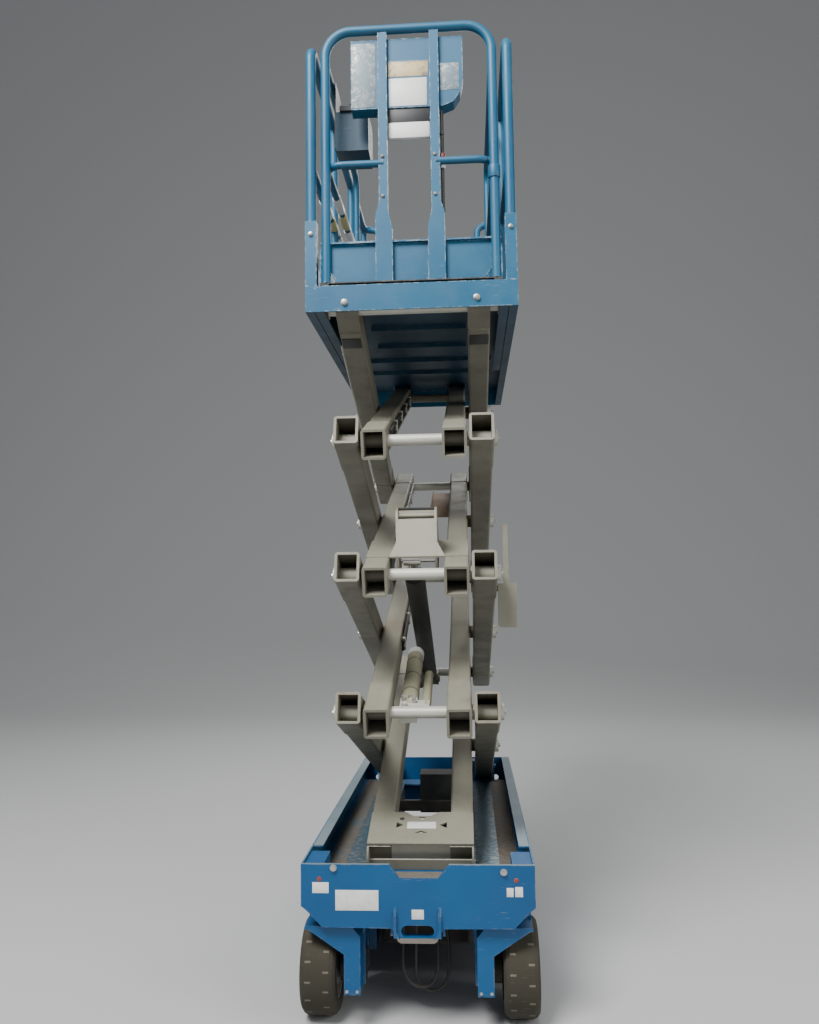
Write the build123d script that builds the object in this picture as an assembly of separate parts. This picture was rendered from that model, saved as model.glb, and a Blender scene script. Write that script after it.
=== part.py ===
"""Slab scissor lift, four stages, shown part raised: one STEP file per piece.

Millimetres.  +X is the lift's left-to-right as seen from the front, the front is at -Y
and the ground is z = 0.  Every arm pair is drawn about its own centre pivot and turned
to the rest angle, so the pivots of the folding linkage coincide exactly.
"""
import math
import os

from build123d import *

os.makedirs("parts", exist_ok=True)

# ---- driving dimensions ---------------------------------------------------------
# linkage
ARM_L = 1530.0            # pin to pin
STAGE_H = 474.7           # height of one stage at rest
STAGES = 4
THETA = math.degrees(math.asin(STAGE_H / ARM_L))
Z_J0 = 483.5              # lowest pivots
Y_C = 58.65               # line of the centre pivots
RUN = ARM_L * math.cos(math.radians(THETA))
Y_N, Y_F = Y_C - RUN / 2, Y_C + RUN / 2      # near (sliding) and far (fixed) ends
Z_J4 = Z_J0 + STAGES * STAGE_H
ARM_H, ARM_T, ARM_WALL, ARM_ROUND = 100.0, 80.0, 6.0, 9.0
IN_X0, OUT_X0 = 100.0, 195.0                 # inner faces of the inner and outer arms
IN_X1, OUT_X1 = IN_X0 + ARM_T, OUT_X0 + ARM_T
ARM_EXT = 90.0            # a tube's end past its pin
SLEEVE, SLEEVE_L = 3.0, 225.0                # reinforcing sleeve on an arm's end
SHAFT_R, BUSH_R, TUBE_R = 17.0, 26.0, 20.5
FIT = 0.3                 # clearance between faces of different bodies
HEAD_R, PIN_END = 28.0, 292.0
TIP_R = 34.0              # tapered arm ends under the deck
# lift cylinder
CYL_X = -22.0
BASE_AT = (1450.0, 0.0)   # base pin on inner arms 1: along the arm from its near pin, across it
EYE_AT = (110.0, 30.0)    # rod's eye on inner arms 3
BARREL_R, ROD_R, BARREL_END = 38.0, 22.0, 1245.0
CHEEK = (64.0, 72.0)      # the eye bracket's cheeks, half widths
# chassis
HALF_W = 368.0
Y_REAR = Y_F + 129.102
Y_FRONT = -Y_REAR
PANEL_Y = (Y_FRONT + 10, Y_FRONT + 22)      # the front panel's faces, behind its towing bracket
Z_FLOOR, FLOOR_T, FLOOR_END = 432.0, 6.0, Y_F - 40.9
Z_WALL, WALL_FLANGE = 520.0, 38.0
TIE_R = 14.0              # tie-down holes in the rear panel
WELL = (150.0, -430.0, 640.0)                # open well in the floor: half width, front, rear
WELL_Z = 128.0
WEB_Z = Z_FLOOR - FLOOR_T - 26               # underside of the front web
# wheels
TYRE_R, TYRE_W, RIM_R = 152.5, 114.0, 104.0
WHEEL_X, FRONT_Y, REAR_Y = 323.0, -735.0, 590.0
KING_R = 20.0
# swing-out trays
TRAY_X0, TRAY_X1, TRAY_Y0, TRAY_Y1, TRAY_Z0, TRAY_Z1, TRAY_T = WELL[0] + 22, HALF_W - 7, -500.0, 400.0, 105.0, 418.0, 4.0
HINGE_X, HINGE_Y, HINGE_R = TRAY_X1 - 12, TRAY_Y1 + 9, 7.0
GUARD_X, GUARD_Y = TRAY_X1 - 43, (TRAY_Y0 - 33, TRAY_Y1 + 16)
# platform
STOWED = ARM_L * math.cos(math.radians(4.275))       # reach of a folded stage
P_HALF, P_Y0, P_Y1 = 369.0, Y_F - STOWED - 46.2, Y_F + 86.1
Z_DECK, DECK_T = 2438.0, 6.0
Z_BAND0, Z_BAND1 = 2346.0, 2434.0
RAIL_R, Z_RAIL, Z_MID = 18.0, 3322.0, 2880.0     # rail radius, centre heights
POST_Y = (P_Y0 + 20.0, -220.0, 330.0, P_Y1 - 20.0)
TRACK_R = 30.0
SLIDE_X = (OUT_X1 + 28, OUT_X1 + 55)           # slide blocks under the deck
GATE_X, GATE_R = 222.0, 13.0
# roll-out extension
E_HALF, E_Y0, E_Y1, E_Z = P_HALF - 51, P_Y0 + 4, P_Y0 + 916, Z_DECK + 12
HOOP_X, HOOP_Y, HOOP_R, HOOP_Z = E_HALF - 21, E_Y0 + 14, 16.5, 3376.0
BOARD_H = 148.0


# ---- helpers --------------------------------------------------------------------
def box(x0, x1, y0, y1, z0, z1):
    return Pos((x0 + x1) / 2, (y0 + y1) / 2, (z0 + z1) / 2) * Box(x1 - x0, y1 - y0, z1 - z0)


def cyl_x(x0, x1, y, z, r):
    return Pos((x0 + x1) / 2, y, z) * Rot(0, 90, 0) * Cylinder(r, x1 - x0)


def cyl_y(y0, y1, x, z, r):
    return Pos(x, (y0 + y1) / 2, z) * Rot(90, 0, 0) * Cylinder(r, y1 - y0)


def cyl_z(z0, z1, x, y, r):
    return Pos(x, y, (z0 + z1) / 2) * Cylinder(r, z1 - z0)


def sx(s, a, b):
    """An x range on side s, in rising order."""
    return (a, b) if s > 0 else (-b, -a)


def fuse(items):
    out = items[0]
    for it in items[1:]:
        out = out + it
    return out


def outline_yz(points, x0, x1):
    """A prism whose outline lies in the YZ plane."""
    face = make_face(Polyline(*[(0, y, z) for y, z in points], close=True))
    return Pos(x0, 0, 0) * extrude(face, amount=x1 - x0, dir=(1, 0, 0))


def outline_xz(points, y0, y1):
    face = make_face(Polyline(*[(x, 0, z) for x, z in points], close=True))
    return Pos(0, y0, 0) * extrude(face, amount=y1 - y0, dir=(0, 1, 0))


def outline_xy(points, z0, z1):
    face = make_face(Polyline(*[(x, y, 0) for x, y in points], close=True))
    return Pos(0, 0, z0) * extrude(face, amount=z1 - z0, dir=(0, 0, 1))


def tube_run(points, r, bend):
    """A round rail through the points with bent corners."""
    path = FilletPolyline(*points, radius=bend)
    return sweep(Plane(origin=path @ 0, z_dir=path % 0) * Circle(r), path=path)


def hose(name, points, r):
    """A free hose: straight runs joined by the widest arcs that fit them."""
    v = [Vector(*p) for p in points]
    edges, start = [], v[0]
    for a, b, c in zip(v, v[1:], v[2:]):
        ab, bc = (b - a).normalized(), (c - b).normalized()
        half = math.radians(ab.get_angle(bc)) / 2
        if half < 0.01:
            continue
        cut = 0.45 * min((b - a).length, (c - b).length)
        print(name, "bend radius", round(cut / math.tan(half), 1))
        p, q = b - ab * cut, b + bc * cut
        edges += [Line(start, p), TangentArc(p, q, tangent=ab)]
        start = q
    path = Wire(edges + [Line(start, v[-1])])
    print(name, "length", round(path.length, 1))
    return sweep(Plane(origin=path @ 0, z_dir=path % 0) * Circle(r), path=path)


def turned(points, x, y, z):
    """A wheel-like piece turned about the X axis: points are (x, radius)."""
    face = make_face(Polyline(*[(px, r, 0) for px, r in points], close=True))
    return Pos(x, y, z) * revolve(face, axis=Axis.X)


def save(name, shape):
    shape.label = name
    export_step(shape, f"parts/{name}.step")
    print(name, len(shape.solids()), round(shape.volume / 1e6, 2))


# ---- arms: drawn with the centre pivot at the origin and the far end at +Y ----------
HALF_L = ARM_L / 2
NEAR, FAR = -HALF_L, HALF_L


def section(x0, x1, y0, y1, grow, rounding):
    """A length of rectangular bar, its long edges rounded."""
    sk = RectangleRounded(ARM_H + 2 * grow, x1 - x0 + 2 * grow, rounding)
    bar = extrude(Plane.XZ * Rot(0, 0, 90) * sk, amount=-(y1 - y0))
    return Pos((x0 + x1) / 2, y0, 0) * bar


def tube(x0, x1, near, far, near_sleeve, far_sleeve):
    """A rectangular tube with a sleeve on each end that has one.  near and far are the
    lengths past the pins, or "round" (turned about the pin) or "tip" (tapered)."""
    past = {"round": 0.0, "tip": -70.0}
    a, b = NEAR - past.get(near, near), FAR + past.get(far, far)
    arm = section(x0, x1, a, b, 0, ARM_ROUND)
    if near_sleeve:
        arm = arm + section(x0, x1, a, a + SLEEVE_L, SLEEVE, ARM_ROUND + 2)
    if far_sleeve:
        arm = arm + section(x0, x1, b - SLEEVE_L, b, SLEEVE, ARM_ROUND + 2)
    w = ARM_WALL
    arm = arm - box(x0 + w, x1 - w, a - 1, b + 1, -ARM_H / 2 + w, ARM_H / 2 - w)
    for end, y, d in ((near, NEAR, 1), (far, FAR, -1)):
        if end == "round":
            arm = arm + (cyl_x(x0, x1, y, 0, ARM_H / 2) - box(x0 + w, x1 - w, y - 60, y + 60, -ARM_H / 2 + w, ARM_H / 2 - w))
        if end == "tip":
            side = [(y + d * 78, ARM_H / 2 - 4), (y + d * 22, TIP_R), (y, TIP_R), (y, -TIP_R), (y + d * 22, -TIP_R), (y + d * 78, -ARM_H / 2 + 4)]
            arm = arm + outline_yz(side, x0, x1) + cyl_x(x0, x1, y, 0, TIP_R)
    return arm


def placed(shape, stage, turn):
    return Pos(0, Y_C, Z_J0 + (stage - 0.5) * STAGE_H) * Rot(turn, 0, 0) * shape


def foot(arms):
    """The box that joins the pair at its sliding end: open at the front, closed behind,
    with a top plate that carries the cut-outs and a lower front plate."""
    top, y0 = ARM_H / 2, NEAR - 22
    arms = arms - box(-IN_X1 + 6, IN_X1 - 6, NEAR - 60, NEAR + 8, -top + 6, top - 6)
    edge = [(-IN_X1, y0), (IN_X1, y0), (IN_X1, y0 + 190), (60, y0 + 190), (30, y0 + 165), (-30, y0 + 165), (-60, y0 + 190), (-IN_X1, y0 + 190)]
    plate = outline_xy(edge, top - 1, top + 5)
    for tri in ([(-88, 128), (-88, 92), (-62, 110)], [(88, 128), (88, 92), (62, 110)], [(-24, 62), (24, 62), (0, 76)], [(-14, 160), (14, 160), (0, 140)]):
        plate = plate - outline_xy([(x, y0 + y) for x, y in tri], top - 2, top + 6)
    arms = arms + (plate - cyl_z(top - 2, top + 6, -70, y0 + 148, 9))
    arms = arms + box(-IN_X1 + 3, IN_X1 - 3, NEAR + 8, NEAR + 14, -top + 3, top)
    arms = arms + box(-IN_X1 + 3, IN_X1 - 3, NEAR - 20, NEAR - 14, -46, -8)
    for s in (1, -1):
        cheek = outline_yz([(y0, top), (NEAR + 10, top), (NEAR + 10, -44), (NEAR - 20, -44)], *sx(s, IN_X1 - 6, IN_X1))
        arms = arms + cheek
    return arms


def eye_bracket():
    """Saddle plate, two cheeks, the flared front plate and a spacer on inner arms 3."""
    top = ARM_H / 2
    c0, c1 = CHEEK

    def at(a, b):
        return (NEAR + a, b)

    pieces = []
    saddle = box(-IN_X1, IN_X1, NEAR + 35, NEAR + 255, top - 1, top + 5)
    pieces.append(saddle - box(-c0, c0, NEAR + 50, NEAR + 256, top - 2, top + 6))
    cheek = [at(35, -4), at(35, 60), at(60, 215), at(112, 215), at(250, 60), at(165, -20), at(60, -20)]
    for s in (1, -1):
        pieces.append(outline_yz(cheek, *sx(s, c0, c1)))
    lean = math.degrees(math.atan2(25, 155))
    wide = [(-98, 0), (98, 0), (c0 + 4, 60), (c0 + 4, 132), (-c0 - 4, 132), (-c0 - 4, 60)]
    plate = Pos(0, NEAR + 35, 55) * Rot(-lean, 0, 0) * outline_xz(wide, 0, 6)
    pieces.append(plate)
    pieces.append(cyl_x(-c0, c0, NEAR + 86, 195, 14))
    return pieces


def base_lugs():
    """Two lugs from the far cross tube to the cylinder's base pin, on inner arms 1."""
    y, z = NEAR + BASE_AT[0], BASE_AT[1]
    pieces = []
    for x0, x1 in ((CYL_X - 44, CYL_X - 34), (CYL_X + 34, CYL_X + 44)):
        pieces.append(outline_yz([(y, -30), (FAR, -22), (FAR, 14), (y, 30)], x0, x1) + cyl_x(x0, x1, y, z, 30))
    pieces.append(cyl_x(CYL_X - 50, CYL_X + 50, y, z, 16))
    return pieces


# stage, near end, far end, sleeves near and far
INNER = [(1, "round", ARM_EXT, False, True), (2, ARM_EXT, ARM_EXT, True, True), (3, ARM_EXT, ARM_EXT, True, True), (4, ARM_EXT, "tip", True, False)]
OUTER = [(1, ARM_EXT, "round", True, False), (2, ARM_EXT, ARM_EXT, True, True), (3, ARM_EXT, ARM_EXT, True, True), (4, "tip", ARM_EXT, False, True)]


def inner_arms(stage, near, far, near_sleeve, far_sleeve):
    pieces = []
    for s in (1, -1):
        x0, x1 = sx(s, IN_X0, IN_X1)
        arm = tube(x0, x1, near, far, near_sleeve, far_sleeve)
        for y, sleeve, carries in ((NEAR, near_sleeve, stage > 1), (0.0, False, True), (FAR, far_sleeve, stage < 4)):
            if y == NEAR and stage == 1:
                continue
            arm = arm + cyl_x(x0, x1, y, 0, BUSH_R)
            if carries:
                arm = arm + cyl_x(*sx(s, IN_X1, OUT_X0 - (SLEEVE if sleeve else 0) - FIT), y, 0, BUSH_R)
        for y, grow in ((0.0, 0.0), (FAR, SLEEVE)):      # pins for the outer arms
            if y == FAR and stage == 4:
                continue
            arm = arm + cyl_x(*sx(s, IN_X1, OUT_X1 + grow + FIT), y, 0, SHAFT_R)
            arm = arm + cyl_x(*sx(s, OUT_X1 + grow + FIT, PIN_END), y, 0, HEAD_R)
        pieces.append(arm)
    pieces += [cyl_x(-IN_X0 - 4, IN_X0 + 4, y, 0, TUBE_R) for y in (NEAR, FAR - 78 if stage == STAGES else FAR) if stage > 1 or y > 0]
    if stage == 1:
        pieces += base_lugs()
    if stage == 3:
        pieces += eye_bracket()
    body = fuse(pieces)
    if stage == 1:
        body = foot(body)
    if stage > 1:
        body = body - cyl_x(-400, 400, NEAR, 0, SHAFT_R + FIT)
    if stage == 4:
        body = body - cyl_x(-400, 400, FAR, 0, SHAFT_R + FIT)
    return placed(body, stage, THETA)


def outer_arms(stage, near, far, near_sleeve, far_sleeve):
    pieces = []
    for s in (1, -1):
        x0, x1 = sx(s, OUT_X0, OUT_X1)
        arm = tube(x0, x1, near, far, near_sleeve, far_sleeve)
        for y in (NEAR, 0.0, FAR):
            arm = arm + cyl_x(x0, x1, y, 0, BUSH_R)
        for y in (0.0, FAR):
            arm = arm - cyl_x(x0 - 5, x1 + 5, y, 0, SHAFT_R + FIT)
        pieces.append(arm)
    # the near shaft joins the pair; on the top stage it ends in the slide blocks
    pieces.append(cyl_x(-OUT_X1, OUT_X1, NEAR, 0, SHAFT_R))
    for s in (1, -1):
        if stage < STAGES:
            pieces.append(cyl_x(*sx(s, OUT_X1, PIN_END), NEAR, 0, HEAD_R))
        else:
            pieces.append(cyl_x(*sx(s, OUT_X1, SLIDE_X[0]), NEAR, 0, SHAFT_R))
            pieces.append(cyl_x(*sx(s, *SLIDE_X), NEAR, 0, TRACK_R - FIT))
    return placed(fuse(pieces), stage, -THETA)


for row in INNER:
    save(f"inner_arms_{row[0]}", inner_arms(*row))
for row in OUTER:
    save(f"outer_arms_{row[0]}", outer_arms(*row))


# ---- lift cylinder --------------------------------------------------------------
def on_inner(stage, at):
    """World (y, z) of a point given along and across an inner arm from its near pin."""
    c, s = math.cos(math.radians(THETA)), math.sin(math.radians(THETA))
    return Y_N + at[0] * c - at[1] * s, Z_J0 + (stage - 1) * STAGE_H + at[0] * s + at[1] * c


BASE, EYE = on_inner(1, BASE_AT), on_inner(3, EYE_AT)
CYL_LEN = math.dist(BASE, EYE)
CYL_ANGLE = math.degrees(math.atan2(EYE[1] - BASE[1], EYE[0] - BASE[0]))


def on_cylinder(shape):
    """From a frame whose +Y runs from the base pin to the rod's eye."""
    return Pos(CYL_X, BASE[0], BASE[1]) * Rot(CYL_ANGLE, 0, 0) * shape


barrel = cyl_y(84, BARREL_END, 0, 0, BARREL_R) - cyl_y(110, BARREL_END - 50, 0, 0, ROD_R + 8) - cyl_y(BARREL_END - 60, BARREL_END + 1, 0, 0, ROD_R + 0.05)
barrel = barrel + (cyl_y(BARREL_END - 42, BARREL_END, 0, 0, BARREL_R + 1) - cyl_y(BARREL_END - 60, BARREL_END + 1, 0, 0, ROD_R + 0.05))
barrel = barrel + cyl_x(-33.5, 33.5, 0, 0, 29) + outline_yz([(0, -29), (60, -29), (86, -36), (86, 36), (60, 29), (0, 29)], -30, 30)
barrel = barrel + box(-52, -20, 96, 190, 14, 62) + cyl_y(120, 200, -36, 70, 16)       # load-holding valve block
barrel = barrel - cyl_y(110, BARREL_END - 50, 0, 0, ROD_R + 8) - cyl_x(-60, 60, 0, 0, 16 + FIT)
save("lift_cylinder_barrel", on_cylinder(barrel))
rod = cyl_y(230, CYL_LEN - 20, 0, 0, ROD_R) + cyl_y(200, 232, 0, 0, ROD_R + 7.8)
rod = rod + cyl_x(-30, 30, CYL_LEN, 0, 30) + cyl_x(-CYL_X - CHEEK[0] + FIT, -CYL_X + CHEEK[0] - FIT, CYL_LEN, 0, 19)
save("lift_cylinder_rod", on_cylinder(rod))

# ---- valve manifold between inner arms 2 -----------------------------------------------
MX, MN = -40.0, -22.0     # its line: across the machine, and from the arms' axis
man = cyl_y(NEAR + 70, NEAR + 550, MX, MN, 31) + cyl_y(NEAR + 535, NEAR + 575, MX, MN, 33)
man = man + box(MX - 30, MX + 30, NEAR + TUBE_R + 5, NEAR + 112, MN - 31, MN + 24)
man = man + cyl_y(NEAR + 60, NEAR + 350, 22, -14, 17) + box(MX, 34, NEAR + TUBE_R + 5, NEAR + 92, -34, 2)
man = man + box(MX - 24, 34, NEAR + 8, NEAR + TUBE_R + 12, -14, 8)
man = man + cyl_z(MN + 22, MN + 38, MX - 12, NEAR + 44, 10) + cyl_z(MN + 22, MN + 34, MX + 12, NEAR + 84, 11)
man = man - cyl_x(-400, 400, NEAR, 0, TUBE_R + 0.2)
save("valve_manifold", placed(man, 2, THETA))

# ---- chassis pan ------------------------------------------------------------------
hw, hy0, hy1 = WELL
Z_UNDER = Z_FLOOR - FLOOR_T
pan = box(-HALF_W, HALF_W, PANEL_Y[1], FLOOR_END, Z_UNDER, Z_FLOOR) - box(-hw, hw, hy0, hy1, Z_FLOOR - 50, Z_FLOOR + 50)
pan = pan + box(-HALF_W, HALF_W, FLOOR_END, Y_REAR - 60, Z_UNDER - 36, Z_UNDER - 30) + box(-HALF_W, HALF_W, FLOOR_END - 6, FLOOR_END, Z_UNDER - 36, Z_FLOOR)
for s in (1, -1):
    wall = box(*sx(s, HALF_W - 5, HALF_W), PANEL_Y[1], Y_REAR - 60, Z_UNDER, Z_WALL)
    wall = wall + box(*sx(s, HALF_W - WALL_FLANGE, HALF_W), PANEL_Y[1] + 193, Y_REAR - 60, Z_WALL - 5, Z_WALL)
    wall = wall + box(*sx(s, HALF_W - 5, HALF_W), FLOOR_END - 6, Y_REAR - 60, Z_UNDER - 36, Z_UNDER)
    pan = pan + wall
    for a, b in ((182.0, OUT_X0 - FIT), (OUT_X1 + FIT, 290.0)):
        lug = outline_yz([(Y_F - 80, Z_UNDER - 36), (Y_F + 60, Z_UNDER - 36), (Y_F + 42, Z_J0), (Y_F - 42, Z_J0)], *sx(s, a, b))
        pan = pan + lug + cyl_x(*sx(s, a, b), Y_F, Z_J0, 42)
    pan = pan + cyl_x(*sx(s, 176.0, 298.0), Y_F, Z_J0, SHAFT_R)
save("chassis_pan", pan)

# ---- underframe: well, kingpin housings, spindles, guides and hinge pins ------------
under = []
for s in (1, -1):
    side = [(-560, Z_UNDER), (-560, 240), (-500, WELL_Z), (560, WELL_Z), (620, 220), (640, Z_UNDER)]
    under.append(outline_yz(side, *sx(s, hw, hw + 6)))
    housing = cyl_z(350, Z_UNDER, s * WHEEL_X, FRONT_Y, 36) - cyl_z(300, Z_UNDER - 8, s * WHEEL_X, FRONT_Y, KING_R + FIT)
    under.append(housing)
    under.append(box(*sx(s, 60, 290), FRONT_Y - 12, FRONT_Y + 12, 372, Z_UNDER))      # cross beam out to the housing
    plate = outline_yz([(REAR_Y - 85, Z_UNDER), (REAR_Y + 85, Z_UNDER), (REAR_Y + 45, 105), (REAR_Y - 45, 105)], *sx(s, 226, 242))
    under.append(plate)
    under.append(box(*sx(s, hw, 230), REAR_Y - 30, REAR_Y + 30, 240, 262))
    under.append(cyl_x(*sx(s, 242, 258), REAR_Y, TYRE_R, 56) + cyl_x(*sx(s, 258, 308), REAR_Y, TYRE_R, KING_R))
    for gy in GUARD_Y:
        under.append(cyl_z(360, Z_UNDER, s * GUARD_X, gy, 12) - cyl_z(300, Z_UNDER - 6, s * GUARD_X, gy, 8 + FIT))
    pin = cyl_z(112, Z_UNDER, s * HINGE_X, HINGE_Y, HINGE_R)
    under.append(pin)
under.append(box(-hw - 6, hw + 6, -500, 560, WELL_Z, WELL_Z + 6))
under.append(box(-90, 90, FRONT_Y - 12, WELL[1] - 130, WEB_Z, Z_UNDER))
under.append(box(-hw - 6, hw + 6, -566, -560, 240, Z_UNDER))
under.append(box(-hw - 6, hw + 6, 330, 345, 380, Z_UNDER))
under.append(box(-hw - 6, hw + 6, REAR_Y - 30, REAR_Y + 30, 240, 262))
save("chassis_underframe", fuse(under))
save("charger", box(-60, 90, 395, 520, WELL_Z + 230, 529) + box(-86, 116, 345.0, 395, 400, 406))

# ---- front panel ----------------------------------------------------------------
P0, P1 = PANEL_Y
panel = outline_xz([(-54, 286), (-82, 326), (68 - HALF_W, 328), (16 - HALF_W, 380), (-HALF_W, 392), (-HALF_W, Z_WALL), (-87, Z_WALL), (-56, Z_WALL - 44), (66, Z_WALL - 44), (100, Z_WALL), (HALF_W, Z_WALL), (HALF_W, 392), (HALF_W - 16, 380), (HALF_W - 68, 328), (82, 326), (54, 286)], P0, P1)
slot = box(-33, 33, P0 - 1, P1 + 70, 298, 336) + cyl_y(P0 - 1, P1 + 70, -33, 317, 19) + cyl_y(P0 - 1, P1 + 70, 33, 317, 19)
panel = panel + outline_xz([(-78, 372), (78, 372), (82, 326), (54, 286), (-54, 286), (-82, 326)], P1, P1 + 26)
panel = panel - slot
panel = panel + outline_xz([(-60, 297), (60, 297), (54, 286), (-54, 286)], Y_FRONT, P0)
for s in (1, -1):
    panel = panel + outline_yz([(Y_FRONT, 300), (Y_FRONT, 366), (P0, 392), (P0, 300)], *sx(s, 66, 74))
    panel = panel + outline_xz([(s * 74, 320), (s * 66, 320), (s * 52, 290), (s * 60, 290)], Y_FRONT, P0)
panel = panel + box(6 - HALF_W, HALF_W - 6, P1, P1 + 50, Z_UNDER - 7 - FIT, Z_UNDER - FIT)
for s in (1, -1):
    panel = panel + (box(*sx(s, HALF_W - 68, HALF_W - 5 - FIT), P1, P1 + 158, Z_FLOOR + FIT, Z_WALL - 8) - box(*sx(s, HALF_W - 63, HALF_W - 4), P1 - 1, P1 + 153, Z_FLOOR - 1, Z_WALL - 13))
    panel = panel + outline_yz([(P1, 390), (P1 + 56, 390), (P1, 300)], *sx(s, 78, 86))
save("front_panel", panel)

# ---- rear panel and entry ladder --------------------------------------------------
R0 = Y_REAR - 60
rear = outline_xz([(-HALF_W, 360), (-330, 330), (330, 330), (HALF_W, 360), (HALF_W, Z_WALL), (-HALF_W, Z_WALL)], R0 + FIT, R0 + 6 + FIT)
for s in (1, -1):
    rear = rear + cyl_y(R0 + FIT, R0 + 12 + FIT, s * 300, 420, 26) - cyl_y(R0 - 1, R0 + 20, s * 300, 420, TIE_R)
for s in (1, -1):
    leg = cyl_z(140, 500, s * 200, Y_REAR - 14, 13)
    rear = rear + leg + cyl_y(R0 + 3, Y_REAR - 14, s * 200, 486, 12) + cyl_y(R0 + 3, Y_REAR - 14, s * 200, 346, 12)
for z in (152, 300, 448):
    rear = rear + box(-200, 200, Y_REAR - 30, Y_REAR, z, z + 24)
save("rear_panel_ladder", rear)


# ---- swing-out trays ----------------------------------------------------------------
def tray(s):
    x0, x1 = sx(s, TRAY_X0, TRAY_X1)
    t = TRAY_T
    shell = box(x0, x1, TRAY_Y0, TRAY_Y1, TRAY_Z0, TRAY_Z1)
    outer = sx(s, TRAY_X1 - t - 1, TRAY_X1 + 1)
    body = shell - box(x0 + t, x1 - t, TRAY_Y0 + t, TRAY_Y1 - t, TRAY_Z0 + t, TRAY_Z1 + 1)
    inner = sx(s, TRAY_X0 - 1, TRAY_X0 + t + 1)
    body = body - box(*inner, TRAY_Y0 + 40, TRAY_Y1 - 40, 240, TRAY_Z1 + 1)      # low inner wall
    for y in (-380, -320, -260, 200, 260, 320):                                    # cooling slots
        body = body - box(*outer, y, y + 34, 300, 312)
    for z in (125.0, 350.0):
        knuckle = cyl_z(z, z + 50, s * HINGE_X, HINGE_Y, 13) + box(*sx(s, HINGE_X - 12, HINGE_X + 12), TRAY_Y1 - t, HINGE_Y - 2, z, z + 50)
        body = body + (knuckle - cyl_z(z - 1, z + 51, s * HINGE_X, HINGE_Y, HINGE_R + FIT))
    return body


save("tray_left", tray(-1))
save("tray_right", tray(1))
LOAD_OUT = TRAY_X1 - TRAY_T - 7      # outer side of what stands in the trays
save("battery_pack", fuse([box(LOAD_OUT - 168, LOAD_OUT, y, y + 250, TRAY_Z0 + TRAY_T, 388) + box(LOAD_OUT - 150, LOAD_OUT - 18, y + 20, y + 230, 388, 396) for y in (TRAY_Y0 + 30, TRAY_Y0 + 300, TRAY_Y0 + 590)]))
UNIT_X = -(LOAD_OUT - 80)
save("hydraulic_unit", box(-LOAD_OUT, -LOAD_OUT + 160, -380, -60, TRAY_Z0 + TRAY_T, 300) + cyl_y(-61, 200, UNIT_X, 210, 75) + box(UNIT_X - 60, UNIT_X + 60, 40, 160, TRAY_Z0 + TRAY_T, 200))

# ---- pothole guards ---------------------------------------------------------------
guards = []
for s in (1, -1):
    bar = outline_yz([(-548, 54), (-548, 34), (-530, 20), (412, 20), (430, 34), (430, 54)], *sx(s, 298, 338))
    for gy in GUARD_Y:
        bar = bar + cyl_z(50, 372, s * GUARD_X, gy, 8)
    guards.append(bar)
save("pothole_guards", Compound(children=guards))

# ---- wheels and steering ------------------------------------------------------------
W = TYRE_W / 2
TYRE = [(-W, RIM_R), (-W, 137), (-W + 8, 147), (-W + 20, TYRE_R), (W - 20, TYRE_R), (W - 8, 147), (W, 137), (W, RIM_R)]
RIM = [(-50, KING_R + FIT), (-50, 60), (-14, 60), (-14, 94), (-52, 97), (-52, RIM_R), (50, RIM_R), (50, 97), (24, 92), (24, 44), (40, 38), (42, 0), (-12, 0), (-12, KING_R + FIT)]
for name, s, y in (("front_left", -1, FRONT_Y), ("front_right", 1, FRONT_Y), ("rear_left", -1, REAR_Y), ("rear_right", 1, REAR_Y)):
    save(f"tyre_{name}", turned([(s * x, r) for x, r in TYRE], s * WHEEL_X, y, TYRE_R))
    save(f"rim_{name}", turned([(s * x, r) for x, r in RIM], s * WHEEL_X, y, TYRE_R))


def yoke(s):
    y0, y1 = FRONT_Y - 62, FRONT_Y + 62
    prof = [(s * x, z) for x, z in [(177, 112), (233, 112), (233, 270), (256, 311), (360, 311), (360, 333), (211, 333), (177, 298)]]
    b = outline_xz(prof, y0, y1)
    b = b - box(*sx(s, 170, 215), FRONT_Y - 40, FRONT_Y + 40, 60, 235)            # open back of the leg
    # the sloping plate in front of the tyre, and the web and roof that carry it
    nose = FRONT_Y - TYRE_R + 7.5
    face = [(s * x, z) for x, z in [(184, 114), (236, 114), (236, 236), (350, 311), (360, 311), (360, 322), (211, 322), (184, 290)]]
    inside = [(s * x, z) for x, z in [(192, 100), (400, 100), (400, 311), (214, 311), (192, 285)]]
    b = b + (outline_xz(face, nose, y0 + 1) - outline_xz(inside, nose + 8, y0 + 2))
    b = b + cyl_z(333, 412, s * WHEEL_X, FRONT_Y, KING_R) + cyl_z(333, 350 - FIT, s * WHEEL_X, FRONT_Y, 36)
    b = b + cyl_x(*sx(s, 180, 262), FRONT_Y, TYRE_R, 52) + cyl_x(*sx(s, 262, 308), FRONT_Y, TYRE_R, KING_R)
    arm = outline_xy([(s * 250, FRONT_Y + 55), (s * 320, FRONT_Y + 55), (s * 302, FRONT_Y + 100), (s * 272, FRONT_Y + 100)], 313, 333)
    return b + arm + cyl_z(333, 350, s * 287, FRONT_Y + 85, 9)


save("yoke_left", yoke(-1))
save("yoke_right", yoke(1))
SY, SZ = FRONT_Y + 85, WEB_Z - 31
cyl = cyl_x(-140, 140, SY, SZ, 24) + box(-50, 50, SY - 18, SY + 18, SZ + 10, WEB_Z - FIT)
save("steer_cylinder", cyl - cyl_x(-141, 141, SY, SZ, 12.05))
srod = cyl_x(-270, 270, SY, SZ, 12)
for s in (1, -1):
    srod = srod + cyl_z(SZ - 17, SZ + 17, s * 287, SY, 20)
save("steer_rod", srod)

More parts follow.
